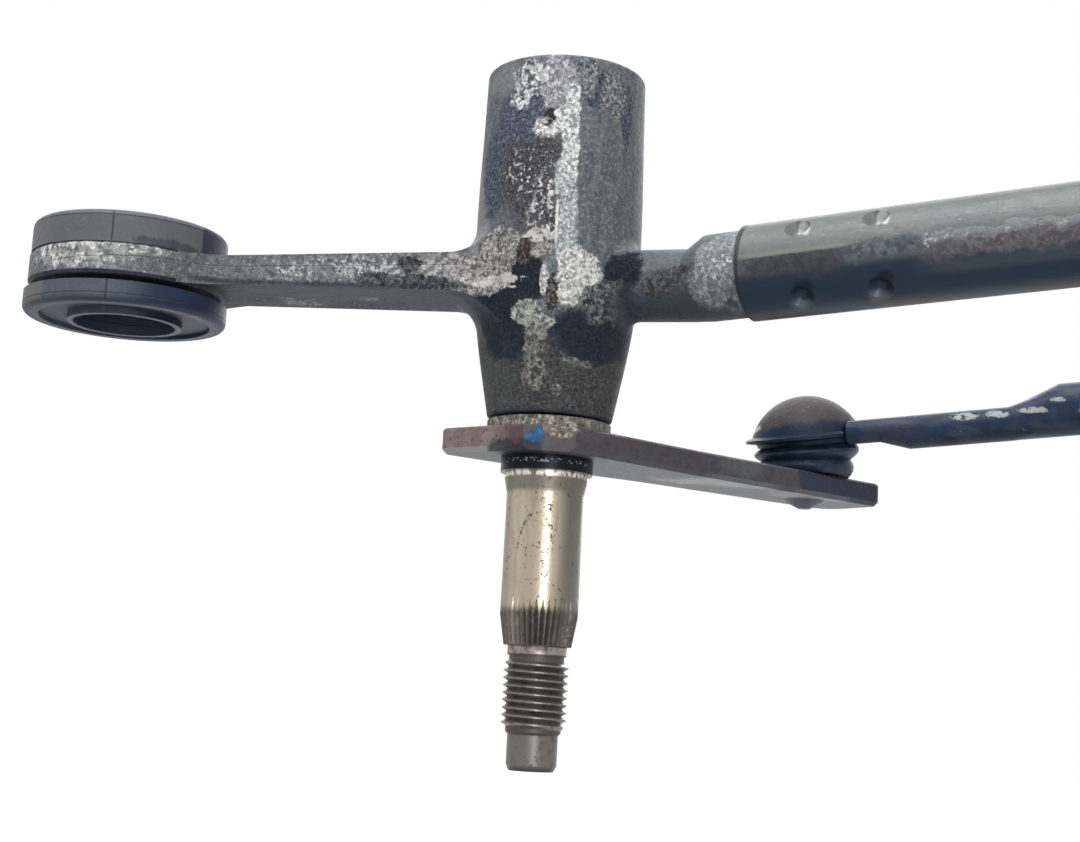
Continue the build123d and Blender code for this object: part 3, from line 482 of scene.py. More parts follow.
def arm_wear_and_shade(f, x, y, z):
    """The arm and its eye: crust in front, a painted-shade dark line on the lower arris, dull
    painted shade underneath.
    """
    on_arm = f.ramp(x, -14.5, -17.0)
    f.mottle((0.245, 0.26, 0.268), 0.42, size=1.4, cover=0.46, soft=0.12, within=on_arm, share=0.7)
    f.mottle((0.085, 0.092, 0.105), size=0.9, cover=0.40, within=on_arm, share=0.6)
    crusty = f.patches([((-26, -8, 51.6), (10, 5, 2.2)), ((-41, -8, 50.6), (3.2, 4, 1.6)),
                        ((-37, -8, 52.2), (2.4, 4, 1.0))], ragged=0.7, grain=3.0, soft=0.25)
    f.mottle((0.58, 0.58, 0.57), 0.6, size=0.65, cover=0.44, soft=0.04, within=crusty)
    f.mottle((0.44, 0.445, 0.44), 0.5, size=0.6, cover=0.30, soft=0.04, within=on_arm, share=0.75)
    f.mottle((0.040, 0.042, 0.048), size=0.7, cover=0.34, within=on_arm, share=0.7)
    bright_ring = f.patches([((-72.5, -14, 50.4), (8.0, 9, 2.6)),
                             ((-64, -15, 51.2), (6.0, 5, 1.0))],
                            ragged=0.6, grain=3.0, soft=0.2)
    f.grit(bright_ring, (0.42, 0.42, 0.415), (0.14, 0.145, 0.15), (0.86, 0.86, 0.84),
           size=1.3, roughness=0.4, share=0.9)
    # Painted shade: a dark line along the rounded lower arris of the arm's front.
    low_arris = f.plus(z, f.times(x, ARM_ARRIS_SLOPE))
    painted_shade_low_line = f.both(f.band(low_arris, 49.15, 50.0, soft=0.3), f.ramp(y, -6.9, -7.3),
                      f.band(x, -56, -17, soft=1.5))
    f.lay(painted_shade_low_line, (0.022, 0.028, 0.040), share=0.8)
    arm_dark = f.patches([((-27.5, -8, 50.0), (3.6, 4, 1.2)), ((-20, -8, 49.6), (5.5, 4, 1.6)),
                          ((-23, -8, 52.6), (1.8, 4, 1.2))], ragged=0.6, grain=2.6, soft=0.15)
    f.grit(arm_dark, (0.034, 0.038, 0.050), (0.012, 0.014, 0.02), (0.16, 0.165, 0.17),
           size=0.7, share=0.85)
    # Painted shade: faces that lean down are laid dull navy and mottled.
    under = f.underside(0.05, -0.7)
    f.lay(under, (0.056, 0.074, 0.094), 0.55, share=0.88)
    f.mottle((0.125, 0.142, 0.16), size=2.2, cover=0.40, soft=0.10, stretch=(3, 1, 1),
             within=under, share=0.6)
    f.mottle((0.030, 0.036, 0.048), size=0.8, cover=0.34, within=under, share=0.6)
    seam_height = f.plus(z, f.times(x, ARM_SEAM_SLOPE))
    seam = f.both(on_arm, f.band(seam_height, 53.85, 54.0, soft=0.08))
    f.lay(seam, (0.06, 0.065, 0.075), share=0.35)
    f.raise_by(seam, -0.08)
    f.raise_by(painted_shade_low_line, -0.08)


def neck_wear_and_shade(f, x):
    """The neck into the tube: grey-green above, painted shade below, its shoulder bloomed white."""
    neck = f.ramp(x, 12.6, 14.0)
    f.lay(neck, (0.112, 0.134, 0.140), 0.5, share=0.55)
    # Painted shade on the faces of the neck that lean down.
    f.lay(f.both(neck, f.underside(0.45, -0.3)), (0.060, 0.080, 0.092), 0.5, share=0.85)
    stain = f.patches([((17.5, -16, 51.0), (4.5, 5, 1.6)), ((15, -14, 49.5), (2.4, 5, 1.6))],
                      ragged=0.6, grain=2.4, soft=0.2)
    f.grit(stain, (0.065, 0.068, 0.066), (0.026, 0.028, 0.03), (0.14, 0.15, 0.15),
           size=0.9, roughness=0.6, share=0.85)
    shoulder = f.patches([((24.6, -20, 53.0), (4.6, 6, 4.4)), ((23, -19, 49.6), (3.8, 6, 3.2)),
                          ((28.5, -21, 50), (3.6, 6, 5.5))], ragged=0.45, grain=3.4, soft=0.22)
    f.grit(shoulder, (0.275, 0.30, 0.312), (0.155, 0.172, 0.182), (0.45, 0.475, 0.49),
           size=0.9, roughness=0.55, share=0.85)
    crown = f.patch((23.8, -19.7, 51.4), (2.2, 5, 2.0), ragged=0.5, soft=0.3)
    f.mottle((0.80, 0.82, 0.83), 0.5, size=0.7, cover=0.34, soft=0.04, within=crown, share=0.9)


def back_wear(f, y):
    """The same coat and oxide on the side turned away."""
    behind = f.ramp(y, -2.0, 3.0)
    coat = f.both(behind, f.flecks(size=11, cover=0.50))
    f.grit(coat, (0.070, 0.080, 0.100), (0.026, 0.032, 0.045), (0.17, 0.185, 0.205),
           size=0.55, roughness=0.6, share=0.9)
    oxide = f.both(behind, f.flecks(size=8, cover=0.34, soft=0.03))
    f.grit(oxide, (0.40, 0.40, 0.40), (0.14, 0.14, 0.145), (0.76, 0.76, 0.75),
           size=0.9, roughness=0.75)


def tube_finish():
    """Dull zinc on thin tube: a stain along its side under a pale chipped edge, painted shade
    below.
    """
    f = Finish("zinc tube, stained", (0.170, 0.186, 0.180), 0.45, metallic=0.22, specular=0.2)
    x, y, z = f.along("X"), f.along("Y"), f.along("Z")
    east, north = math.cos(TUBE_DIRECTION), math.sin(TUBE_DIRECTION)
    run = f.plus(f.times(x, east), f.times(y, north))
    line = f.minus(z, f.plus(f.times(run, TUBE_SLOPE), TUBE_LINE_HEIGHT))
    across = f.plus(f.times(x, -north), f.times(y, east))
    front = f.ramp(across, 1.5, -1.5)
    f.mottle((0.138, 0.156, 0.158), size=7, cover=0.45, soft=0.12, stretch=(4, 1, 0.5), share=0.6)
    f.mottle((0.235, 0.25, 0.24), size=1.2, cover=0.36, soft=0.1, stretch=(5, 1, 0.6), share=0.5)
    f.mottle((0.095, 0.105, 0.11), size=0.7, cover=0.34, soft=0.06, share=0.4)
    # Painted shade: the tube's lower side darkened to navy and mottled, with a lighter strip along
    # the very bottom.
    below = f.ramp(line, -1.0, -3.0)
    f.lay(below, (0.011, 0.028, 0.052), 0.42, share=0.95)
    f.mottle((0.026, 0.042, 0.066), size=3.5, cover=0.40, soft=0.15, stretch=(4, 2, 1),
             within=below, share=0.5)
    lowest = f.ramp(line, -6.6, -7.1)
    f.lay(lowest, (0.07, 0.085, 0.09), share=0.5)
    uneven = f.minus(f.flecks(size=2.4, cover=0.5, soft=0.25, stretch=(2.5, 1, 1)), 0.5)
    ragged = f.plus(line, f.times(uneven, TUBE_STAIN_WANDER))
    f.raise_by(f.flecks(size=1.5, cover=0.5, soft=0.25, stretch=(3, 1, 1)), 0.03)
    tube_stains(f, front, run, line, ragged)
    mouth = f.ramp(run, 33.75, 33.45)
    f.lay(mouth, (0.018, 0.022, 0.028), share=0.8)
    dimple_painted_light_and_shade(f)
    return f.done()


def tube_stains(f, front, run, line, ragged):
    """The stain along the front, dark near the mouth, teal further on and brown beyond."""
    near = f.both(front, f.band(run, 34, 50, soft=2.5))
    halfway = f.both(front, f.band(run, 50, 61.5, soft=2.5))
    far = f.both(front, f.ramp(run, 58.5, 64.5))
    near_stain = f.both(near, f.both(f.ramp(ragged, -3.8, -1.2), f.ramp(line, 0.35, 0.0)))
    f.grit(near_stain, (0.052, 0.051, 0.064), (0.042, 0.043, 0.056), (0.068, 0.066, 0.078),
           size=1.0, roughness=0.55, share=0.85)
    pale_line = f.both(near, f.band(line, 0.35, 0.85, soft=0.25))
    f.lay(pale_line, (0.27, 0.28, 0.245), 0.45, share=0.6)
    teal = f.both(halfway, f.band(ragged, -2.0, 0.7, soft=0.5))
    f.grit(teal, (0.080, 0.100, 0.118), (0.052, 0.064, 0.082), (0.150, 0.182, 0.202),
           size=1.6, roughness=0.5, share=0.8)
    brown = f.both(far, f.both(f.ramp(ragged, -3.7, -2.3), f.ramp(ragged, 0.1, -0.4)))
    f.grit(brown, (0.122, 0.111, 0.128), (0.084, 0.078, 0.094), (0.165, 0.155, 0.168),
           size=1.2, roughness=0.6, share=0.9)
    chipped = f.both(far, f.band(ragged, -0.6, 0.8, soft=0.3),
                     f.flecks(size=1.8, cover=0.58, soft=0.06, stretch=(2.0, 1, 1)))
    f.lay(chipped, (0.26, 0.27, 0.275), 0.5, share=0.55)
    bright_edge = f.both(far, f.band(ragged, -0.6, 0.7, soft=0.3))
    f.mottle((0.48, 0.48, 0.47), 0.5, size=0.8, cover=0.34, within=bright_edge, share=0.65)
    dim_line = f.both(far, f.band(line, -4.8, -3.2, soft=0.6))
    f.lay(dim_line, (0.085, 0.098, 0.112), 0.45, share=0.5)
    flash = f.both(f.band(run, 61.2, 62.9, soft=0.3),
                   f.both(front, f.band(line, -1.4, 0.7, soft=0.3)))
    f.mottle((0.46, 0.50, 0.54), 0.4, size=0.8, cover=0.46, within=flash, share=0.8)
    upper_side = f.band(line, -1.5, 4.5, soft=1.0)
    f.mottle((0.38, 0.40, 0.41), 0.5, size=0.8, cover=0.20, soft=0.03, stretch=(2, 2, 1),
             within=upper_side, share=0.45)
    f.raise_by(brown, -0.03)
    f.raise_by(chipped, 0.04)


def dimple_painted_light_and_shade(f):
    """Painted highlights and shade on the flanks of the front dimples, two above and two below."""
    # Painted highlights on the flanks of the two upper dimples.
    painted_highlight_upper_flanks = f.patches([((35.2, -26.4, 56.8), (0.7, 5, 1.5)),
                             ((45.5, -32.0, 57.5), (0.7, 5, 1.5))],
                            ragged=0.2, grain=1.2, soft=0.25)
    f.lay(painted_highlight_upper_flanks, (0.52, 0.53, 0.51), 0.4, share=0.8)
    # Painted shade in the two lower dimples, and painted light on their lower flanks.
    painted_shade_lower_dimples = f.patches([((35.2, -26.8, 47.6), (1.5, 3, 1.2)),
                             ((45.6, -32.4, 48.2), (1.5, 3, 1.2))],
                            ragged=0.2, grain=1.2, soft=0.3)
    f.lay(painted_shade_lower_dimples, (0.006, 0.010, 0.016), share=0.9)
    painted_light_lower_flanks = f.patches([((35.4, -26.4, 45.95), (1.4, 6, 0.8)),
                             ((45.6, -31.8, 46.6), (1.4, 6, 0.8))],
                            ragged=0.2, grain=1.2, soft=0.6)
    f.lay(painted_light_lower_flanks, (0.17, 0.187, 0.197), 0.4, share=0.75)


def mount_rubber_finish():
    """Slate-grey rubber with mould seams, painted blue shade on its lower half, dark towards the
    barrel.
    """
    f = Finish("mount rubber, slate", (0.128, 0.136, 0.148), 0.55, specular=0.25)
    x, y, z = f.along("X"), f.along("Y"), f.along("Z")
    front = f.ramp(y, 2, -2)
    # Painted shade: the lower half is laid bluer and mottled navy.
    lower = f.ramp(z, 49.5, 48.5)
    f.lay(lower, (0.080, 0.100, 0.128), share=0.92)
    f.mottle((0.158, 0.163, 0.172), size=4, cover=0.45, soft=0.15, share=0.5)
    f.mottle((0.062, 0.084, 0.118), size=4, cover=0.5, soft=0.15, within=lower, share=0.6)
    f.mottle((0.20, 0.205, 0.21), size=0.6, cover=0.30, soft=0.08, share=0.35)
    end = f.both(f.ramp(x, -55.2, -54.8), front, f.less(1.0, lower))
    f.lay(end, (0.018, 0.027, 0.050), 0.6, share=0.95)
    smudge = f.both(f.patch((-59, -13, 52.3), (4.6, 6, 0.9), ragged=0.7, soft=0.2), front)
    f.lay(smudge, (0.035, 0.04, 0.055), share=0.7)
    # Painted shade: the lower half darkest on the barrel's side of the eye.
    painted_shade_low_end = f.both(f.ramp(x, -67, -60), lower)
    f.lay(painted_shade_low_end, (0.006, 0.018, 0.050), 0.5, share=0.9)
    # Painted light: a paler patch in place of a flat facet on the front, which the shape doesn't
    # have.
    flat = f.both(f.ramp(x, -77.4, -78.0), front)
    f.lay(flat, (0.170, 0.168, 0.172), share=0.7)
    # Painted shade on faces that lean down, with painted highlight rings at the lips and painted
    # shade in the groove between them and in the bore.
    below = f.underside(-0.3, -0.8)
    out = f.radius(EYE_X, 0.0)
    f.lay(below, (0.036, 0.056, 0.096), share=0.9)
    painted_highlight_inner_lip = f.both(below, f.band(out, 8.0, 9.0, soft=0.3))
    f.lay(painted_highlight_inner_lip, (0.085, 0.10, 0.12), 0.4, share=0.6)
    painted_shade_groove = f.both(below, f.band(out, 9.1, 12.9, soft=0.3))
    f.lay(painted_shade_groove, (0.030, 0.044, 0.072), share=0.75)
    painted_highlight_outer_lip = f.both(below, f.band(out, 13.2, 14.4, soft=0.4))
    f.lay(painted_highlight_outer_lip, (0.062, 0.075, 0.098), 0.45, share=0.5)
    painted_shade_bore = f.ramp(out, 7.98, 7.90)
    f.lay(painted_shade_bore, (0.030, 0.046, 0.080), share=0.9)
    torn = f.both(below, f.patch((-55.8, -4.9, 41.4), (1.8, 3.4, 2), ragged=0.6, grain=1.6))
    f.lay(torn, (0.17, 0.19, 0.21), 0.5, share=0.6)
    upper_wall = f.both(f.band(z, 51.9, 56.4), f.band(out, 14.4, 16.5))
    lower_wall = f.both(f.band(z, 42.8, 46.5), f.band(out, 14.9, 16.5))
    seams = f.both(f.band(x, -67.25, -67.05, soft=0.05), front, f.either(upper_wall, lower_wall))
    seams = f.either(seams, f.band(z, 55.9, 56.05, soft=0.05))
    seams = f.either(seams, f.band(z, 43.7, 43.85, soft=0.05))
    f.lay(seams, (0.03, 0.034, 0.042), share=0.75)
    f.raise_by(seams, -0.12)
    f.raise_by(torn, 0.1)
    f.raise_by(f.flecks(size=0.8, cover=0.5, soft=0.25), 0.04)
    return f.done()


def spindle_finish():
    """Bright ground steel with pits, painted shade down its sides, a chipped upper edge, oily teeth
    and a dark collar.
    """
    f = Finish("spindle steel", (0.40, 0.35, 0.268), 0.30, metallic=0.85)
    x, z = f.along("X"), f.along("Z")
    f.mottle((0.53, 0.475, 0.385), 0.26, size=5, cover=0.48, soft=0.15, stretch=(0.6, 0.6, 3),
             share=0.6)
    f.mottle((0.26, 0.225, 0.17), 0.38, size=2.4, cover=0.36, soft=0.12, stretch=(0.5, 0.5, 3),
             share=0.5)
    # Painted shade: the journal darkened down its right side and along its left edge.
    right_side, shaded_left_edge = f.ramp(x, 1.0, 4.2), f.ramp(x, -4.4, -6.0)
    f.lay(right_side, (0.12, 0.11, 0.10), 0.38, share=0.85)
    f.lay(shaded_left_edge, (0.13, 0.11, 0.09), 0.35, share=0.6)
    f.mottle((0.20, 0.17, 0.13), 0.5, size=1.6, cover=0.2, soft=0.04, share=0.55)
    pits = f.flecks(size=0.7, cover=0.27, soft=0.03)
    f.lay(pits, (0.07, 0.058, 0.045), 0.6, share=0.85)
    pitted = f.either(f.both(f.ramp(z, 9, 14), f.ramp(x, -3, 1)), f.band(z, 1.8, 3.2, soft=0.8))
    f.mottle((0.06, 0.048, 0.036), 0.6, size=1.1, cover=0.28, soft=0.02, within=pitted, share=0.85)
    wipe = f.less(f.patch((-1.2, -6, 8.2), (3.0, 6, 7.6), ragged=0.05, grain=1.0, soft=0.03),
                  f.patch((-1.2, -6, 7.9), (2.65, 6, 7.3), ragged=0.05, grain=1.0, soft=0.03))
    f.mottle((0.085, 0.070, 0.055), 0.5, size=0.55, cover=0.5, soft=0.04,
             within=f.both(wipe, f.ramp(z, 8.5, 11)), share=0.8)
    top = f.ramp(z, 18.4, 19.4)
    f.lay(top, (0.135, 0.128, 0.105), 0.45, share=0.8)
    chipped_edge = f.band(z, 21.15, 22.0, soft=0.25)
    f.mottle((0.74, 0.71, 0.62), 0.3, size=1.0, cover=0.52, stretch=(0.6, 0.6, 1.6),
             within=chipped_edge)
    collar = f.ramp(z, 21.95, 22.05)
    f.lay(collar, (0.010, 0.011, 0.016), 0.35)
    knurl = f.band(z, 23.1, 23.7, soft=0.1)
    f.mottle((0.30, 0.30, 0.30), 0.4, size=0.6, cover=0.4, soft=0.03, within=knurl, share=0.8)
    toothed = f.ramp(z, 1.6, 0.2)
    f.lay(toothed, (0.070, 0.060, 0.058), 0.5, share=0.85)
    f.mottle((0.22, 0.19, 0.17), 0.4, size=0.9, cover=0.35, soft=0.06, within=toothed, share=0.5)
    below_teeth = f.ramp(z, -4.5, -4.8)
    f.lay(below_teeth, (0.085, 0.075, 0.074), 0.5, share=0.9)
    # A rusty pink ring below the teeth, lightened further as a painted highlight.
    undercut = f.band(z, -5.9, -4.8, soft=0.1)
    f.mottle((0.34, 0.285, 0.265), 0.35, size=2.0, cover=0.62, soft=0.10, within=undercut,
             share=0.85)
    tip = f.ramp(z, -17.9, -18.2)
    f.lay(tip, (0.155, 0.14, 0.135), 0.42)
    f.mottle((0.085, 0.072, 0.065), 0.5, size=1.4, cover=0.35, soft=0.08, within=tip, share=0.6)
    chamfer = f.both(tip, f.ramp(z, -22.6, -23.2))
    f.lay(chamfer, (0.04, 0.036, 0.034), share=0.7)
    f.raise_by(pits, -0.05)
    f.raise_by(f.flecks(size=0.5, cover=0.5, soft=0.25), 0.008)
    return f.done()


def thread_finish():
    """Oily steel with bright nicks on the crests."""
    f = Finish("thread steel, oily", (0.215, 0.192, 0.185), 0.34, metallic=0.8)
    f.mottle((0.07, 0.062, 0.06), 0.5, size=1.2, cover=0.4, soft=0.08, share=0.6)
    f.mottle((0.42, 0.39, 0.36), 0.35, size=0.7, cover=0.22, soft=0.04, share=0.6)
    return f.done()


def lever_finish():
    """Stamped steel, rust bloomed on its edge, dull grey on its face, painted sheen below, a dab of
    blue paint.
    """
    f = Finish("lever steel, rust bloom", (0.090, 0.088, 0.096), 0.5, metallic=0.15, specular=0.2)
    x, z = f.along("X"), f.along("Z")
    f.mottle((0.102, 0.078, 0.086), 0.6, size=4.0, cover=0.50, soft=0.08, share=0.7)
    f.mottle((0.058, 0.058, 0.070), size=1.6, cover=0.40, soft=0.06, stretch=(2, 1, 1), share=0.6)
    grey = f.patch((32, 15.5, 27.5), (4.5, 6, 2.2), ragged=0.4, grain=4.0, soft=0.3)
    f.lay(grey, (0.125, 0.136, 0.142), 0.42, share=0.7)
    end = f.patch((54, 33, 27), (13.5, 14, 8), ragged=0.15, grain=3.0, soft=0.04)
    f.lay(end, (0.020, 0.034, 0.066), 0.45, share=0.9)
    near_end = f.ramp(x, -5.5, -8.0)
    f.lay(near_end, (0.245, 0.178, 0.168), 0.6, share=0.85)
    f.mottle((0.33, 0.285, 0.28), 0.5, size=2.6, cover=0.46, soft=0.12, within=near_end, share=0.6)
    f.mottle((0.20, 0.195, 0.20), size=0.7, cover=0.28, soft=0.04, share=0.35)
    f.mottle((0.026, 0.026, 0.032), size=0.7, cover=0.34, share=0.5)
    # Painted light: the under face laid a paler blue-grey, with painted sheen patches and pale
    # painted streaks.
    under = f.underside(-0.55, -0.95)
    f.lay(under, (0.122, 0.134, 0.142), 0.42, share=0.95)
    painted_sheen = f.patch((31, 17, 24.3), (11, 5.5, 3), ragged=0.6, grain=5.0, soft=0.35)
    f.lay(f.both(under, painted_sheen), (0.34, 0.36, 0.375), 0.35, share=0.85)
    far_painted_sheen = f.patch((49, 28, 24.3), (9, 6, 3), ragged=0.5, grain=5.0, soft=0.35)
    f.lay(f.both(under, far_painted_sheen), (0.33, 0.345, 0.355), 0.35, share=0.7)
    f.mottle((0.095, 0.104, 0.118), size=2.0, cover=0.42, soft=0.06, stretch=(3, 2, 1),
             within=under, share=0.55)
    f.mottle((0.30, 0.315, 0.32), size=0.9, cover=0.32, within=under, share=0.5)
    upper_face = f.underside(0.6, 0.95)
    f.lay(upper_face, (0.13, 0.122, 0.12), 0.5, share=0.5)
    # Painted highlight: a pale line along the lower arris at the near end.
    arris = f.both(f.band(z, 24.3, 25.1, soft=0.12), f.less(1.0, f.underside(-0.85, -0.98)))
    f.lay(f.both(arris, near_end), (0.46, 0.46, 0.44), 0.4, share=0.9)
    facet = f.band(x, -9.2, -1.0, soft=0.5)
    grime = f.patch((-5.0, -8, 24.9), (6.0, 6, 1.3), ragged=0.4, grain=1.6, soft=0.25)
    f.lay(f.both(facet, grime), (0.026, 0.028, 0.038), share=0.85)
    red_edge = f.patch((-5.0, -9.5, 27.2), (0.9, 3, 1.8), ragged=0.35, grain=1.6, soft=0.2)
    f.lay(red_edge, (0.13, 0.078, 0.076), share=0.65)
    salt = f.patch((1.6, -10.4, 27.7), (2.8, 3, 1.1), ragged=0.6, soft=0.25)
    f.grit(salt, (0.21, 0.175, 0.145), (0.07, 0.055, 0.05), (0.48, 0.43, 0.36),
           size=0.8, roughness=0.6, share=0.85)
    dab = f.patches([((-1.5, -10.4, 27.0), (0.6, 3, 1.5)), ((-2.3, -9.9, 26.3), (1.1, 3, 0.6))],
                    ragged=0.6, grain=1.4, soft=0.12)
    f.lay(dab, (0.012, 0.085, 0.215), 0.5, share=0.92)
    f.mottle((0.03, 0.20, 0.42), size=0.8, cover=0.40, within=dab, share=0.6)
    f.raise_by(f.flecks(size=0.7, cover=0.5, soft=0.2), 0.03)
    f.raise_by(f.flecks(size=3.5, cover=0.48, soft=0.10), 0.03)
    return f.done()


def washer_finish():
    """Steel washers crusted with salt."""
    f = Finish("washer steel, salted", (0.16, 0.14, 0.122), 0.55, metallic=0.2, specular=0.25)
    f.mottle((0.48, 0.44, 0.385), 0.6, size=1.1, cover=0.46, share=0.85)
    f.mottle((0.060, 0.052, 0.045), 0.6, size=0.8, cover=0.42, share=0.85)
    right_side = f.ramp(f.along("X"), 4, 8)
    f.lay(right_side, (0.17, 0.17, 0.16), share=0.5)
    f.raise_by(f.flecks(size=0.8, cover=0.42, soft=0.1), 0.06)
    return f.done()


def link_finish():
    """Navy-black coat on the forged link, scraped to white metal in places."""
    f = Finish("link coat, navy black", (0.014, 0.031, 0.070), 0.45, specular=0.25)
    f.mottle((0.032, 0.052, 0.098), size=5, cover=0.42, soft=0.12, share=0.6)
    f.mottle((0.078, 0.098, 0.128), 0.5, size=1.8, cover=0.40, soft=0.10, stretch=(5, 3, 1),
             share=0.55)
    rubbed = f.patch((59, 24, 35.5), (4.0, 8, 1.6), ragged=0.6, grain=2.5, soft=0.5)
    f.lay(rubbed, (0.060, 0.056, 0.078), 0.5, share=0.5)
    f.mottle((0.007, 0.012, 0.026), 0.55, size=2.4, cover=0.36, soft=0.08, stretch=(3, 2, 1),
             share=0.7)
    chips = f.patches([((69.3, 16.5, 37.9), (2.2, 4, 0.8)), ((74.2, 14, 38.1), (1.7, 4, 0.75)),
                       ((79.5, 11.5, 38.6), (2.4, 4, 0.55)), ((87.8, 6, 38.3), (2.2, 4, 2.0)),
                       ((83.0, 9.3, 40.3), (1.2, 3, 0.5))], ragged=0.75, grain=1.3, soft=0.05)
    bare = f.both(chips, f.flecks(size=1.3, cover=0.62))
    f.lay(bare, (0.44, 0.45, 0.46), 0.5)
    f.mottle((0.28, 0.29, 0.31), 0.5, size=0.7, cover=0.13, soft=0.02, stretch=(2, 2, 1),
             share=0.6)
    f.mottle((0.12, 0.13, 0.15), 0.4, size=2.0, cover=0.35, soft=0.06, stretch=(4, 3, 0.5),
             within=f.underside(0.2, 0.9), share=0.5)
    f.raise_by(bare, -0.05)
    f.raise_by(f.flecks(size=1.0, cover=0.5, soft=0.25), 0.03)
    return f.done()


def cap_finish(name, centre):
    """Pressed dome: brown-grey dusty crown that darkens to navy at its rim, with pale chips."""
    f = Finish(name, (0.074, 0.072, 0.072), 0.55, specular=0.2)
    cx, cy, cz = centre
    z = f.along("Z")
    f.mottle((0.112, 0.104, 0.095), 0.6, size=3.0, cover=0.45, soft=0.15, share=0.6)
    f.mottle((0.050, 0.049, 0.052), size=0.7, cover=0.42, soft=0.07, share=0.55)
    f.mottle((0.21, 0.20, 0.185), 0.6, size=0.8, cover=0.34, share=0.45)
    tilt = f.times(f.minus(f.along("X"), cx), CAP_RIM_TILT)
    uneven = f.plus(f.plus(z, tilt), f.flecks(size=3.0, cover=0.5, soft=0.3))
    rim = f.ramp(uneven, cz + 1.4, cz - 0.4)
    f.lay(rim, (0.007, 0.017, 0.040), 0.45)
    f.mottle((0.10, 0.12, 0.14), size=0.8, cover=0.20, soft=0.03, within=rim, share=0.5)
    above_rim = f.band(uneven, cz + 0.7, cz + 2.6, soft=0.5)
    f.lay(above_rim, (0.054, 0.044, 0.050), share=0.6)
    chipped = f.patch((cx - 9.8, cy - 1.5, cz - 0.8), (1.6, 6, 0.9),
                      ragged=0.5, grain=1.0, soft=0.08)
    f.mottle((0.6, 0.6, 0.58), 0.6, size=0.8, cover=0.6, within=chipped)
    f.raise_by(f.flecks(size=0.7, cover=0.5, soft=0.2), 0.03)
    return f.done()


def boot_finish():
    """Navy-black rubber, greyed where it has dried."""
    f = Finish("boot rubber, navy black", (0.011, 0.027, 0.056), 0.42, specular=0.25)
    f.mottle((0.030, 0.048, 0.078), 0.5, size=2.5, cover=0.4, soft=0.12, share=0.6)
    f.mottle((0.062, 0.078, 0.100), 0.5, size=1.0, cover=0.36, soft=0.06, stretch=(2, 2, 1),
             share=0.6)
    f.mottle((0.16, 0.17, 0.18), size=0.7, cover=0.16, soft=0.03, share=0.5)
    f.raise_by(f.flecks(size=0.8, cover=0.5, soft=0.25), 0.04)
    return f.done()


def plain_metal_finish(name, colour, stain, roughness):
    """Turned steel or bronze with a light stain."""
    f = Finish(name, colour, roughness, metallic=0.8)
    f.mottle(stain, roughness + 0.15, size=2.0, cover=0.4, soft=0.12, share=0.5)
    f.raise_by(f.flecks(size=0.6, cover=0.5, soft=0.2), 0.01)
    return f.done()


def cup_finish():
    """Cream plastic, yellowed by grease."""
    f = Finish("cup plastic", (0.60, 0.57, 0.50), 0.4)
    f.mottle((0.35, 0.31, 0.24), 0.3, size=2.0, cover=0.35, soft=0.12, share=0.5)
    f.raise_by(f.flecks(size=0.6, cover=0.5, soft=0.2), 0.01)
    return f.done()


def seal_finish():
    """Black rubber."""
    f = Finish("seal rubber", (0.022, 0.022, 0.024), 0.55)
    f.mottle((0.05, 0.05, 0.052), size=1.2, cover=0.35, soft=0.1, share=0.5)
    f.raise_by(f.flecks(size=0.5, cover=0.5, soft=0.2), 0.02)
    return f.done()


def dress(nodes, material):
    """Give CAD nodes one finish."""
    for name in nodes:
        mesh = parts[name].data
        mesh.materials.clear()
        mesh.materials.append(material)


def middle(node):
    """The middle of a node's box, in millimetres."""
    low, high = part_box(node)
    return tuple((low[i] + high[i]) / 2 / MM for i in range(3))


# The piece that stands only in the looks

def mesh_piece(name, verts, faces, material, body):
    """A flat-shaded mesh, given in millimetres, that rides on a body."""
    mesh = bpy.data.meshes.new(name)
    mesh.from_pydata([tuple(c * MM for c in v) for v in verts], [], faces)
    mesh.update()
    piece = bpy.data.objects.new(name, mesh)
    bpy.context.scene.collection.objects.link(piece)
    mesh.materials.append(material)
    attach(piece, body)


def thread_ridge(material):
    """The thread's ridge, one V section swept down a left-handed helix and sunk into the core at
    both ends. The turns that the pitch gives for the whole thread are fitted between those ends.
    """
    length = THREAD_TOP - THREAD_BOTTOM
    count = int(length / THREAD_PITCH * RIDGE_STEPS_PER_TURN)
    corners = len(RIDGE_SECTION)
    verts, faces = [], []
    for i in range(count + 1):
        angle = 2 * math.pi * i / RIDGE_STEPS_PER_TURN
        grown = min(1.0, i / RIDGE_STEPS_PER_TURN * RIDGE_GROWTH_PER_TURN,
                    (count - i) / RIDGE_STEPS_PER_TURN * RIDGE_GROWTH_PER_TURN)
        z = THREAD_TOP - THREAD_END - (length - 2 * THREAD_END) * i / count
        for share, rise in RIDGE_SECTION:
            r = THREAD_ROOT_R + (THREAD_CREST_R - THREAD_ROOT_R) * share * grown
            verts.append((r * math.cos(angle), r * math.sin(angle), z + rise))
        if i:
            a, b = corners * (i - 1), corners * i
            for k in range(corners):
                n = (k + 1) % corners
                faces.append((a + k, a + n, b + n, b + k))
    faces.append(tuple(range(corners)))
    faces.append(tuple(corners * count + k for k in reversed(range(corners))))
    mesh_piece("thread_ridge", verts, faces, material, "crank")


# Camera, floor and light

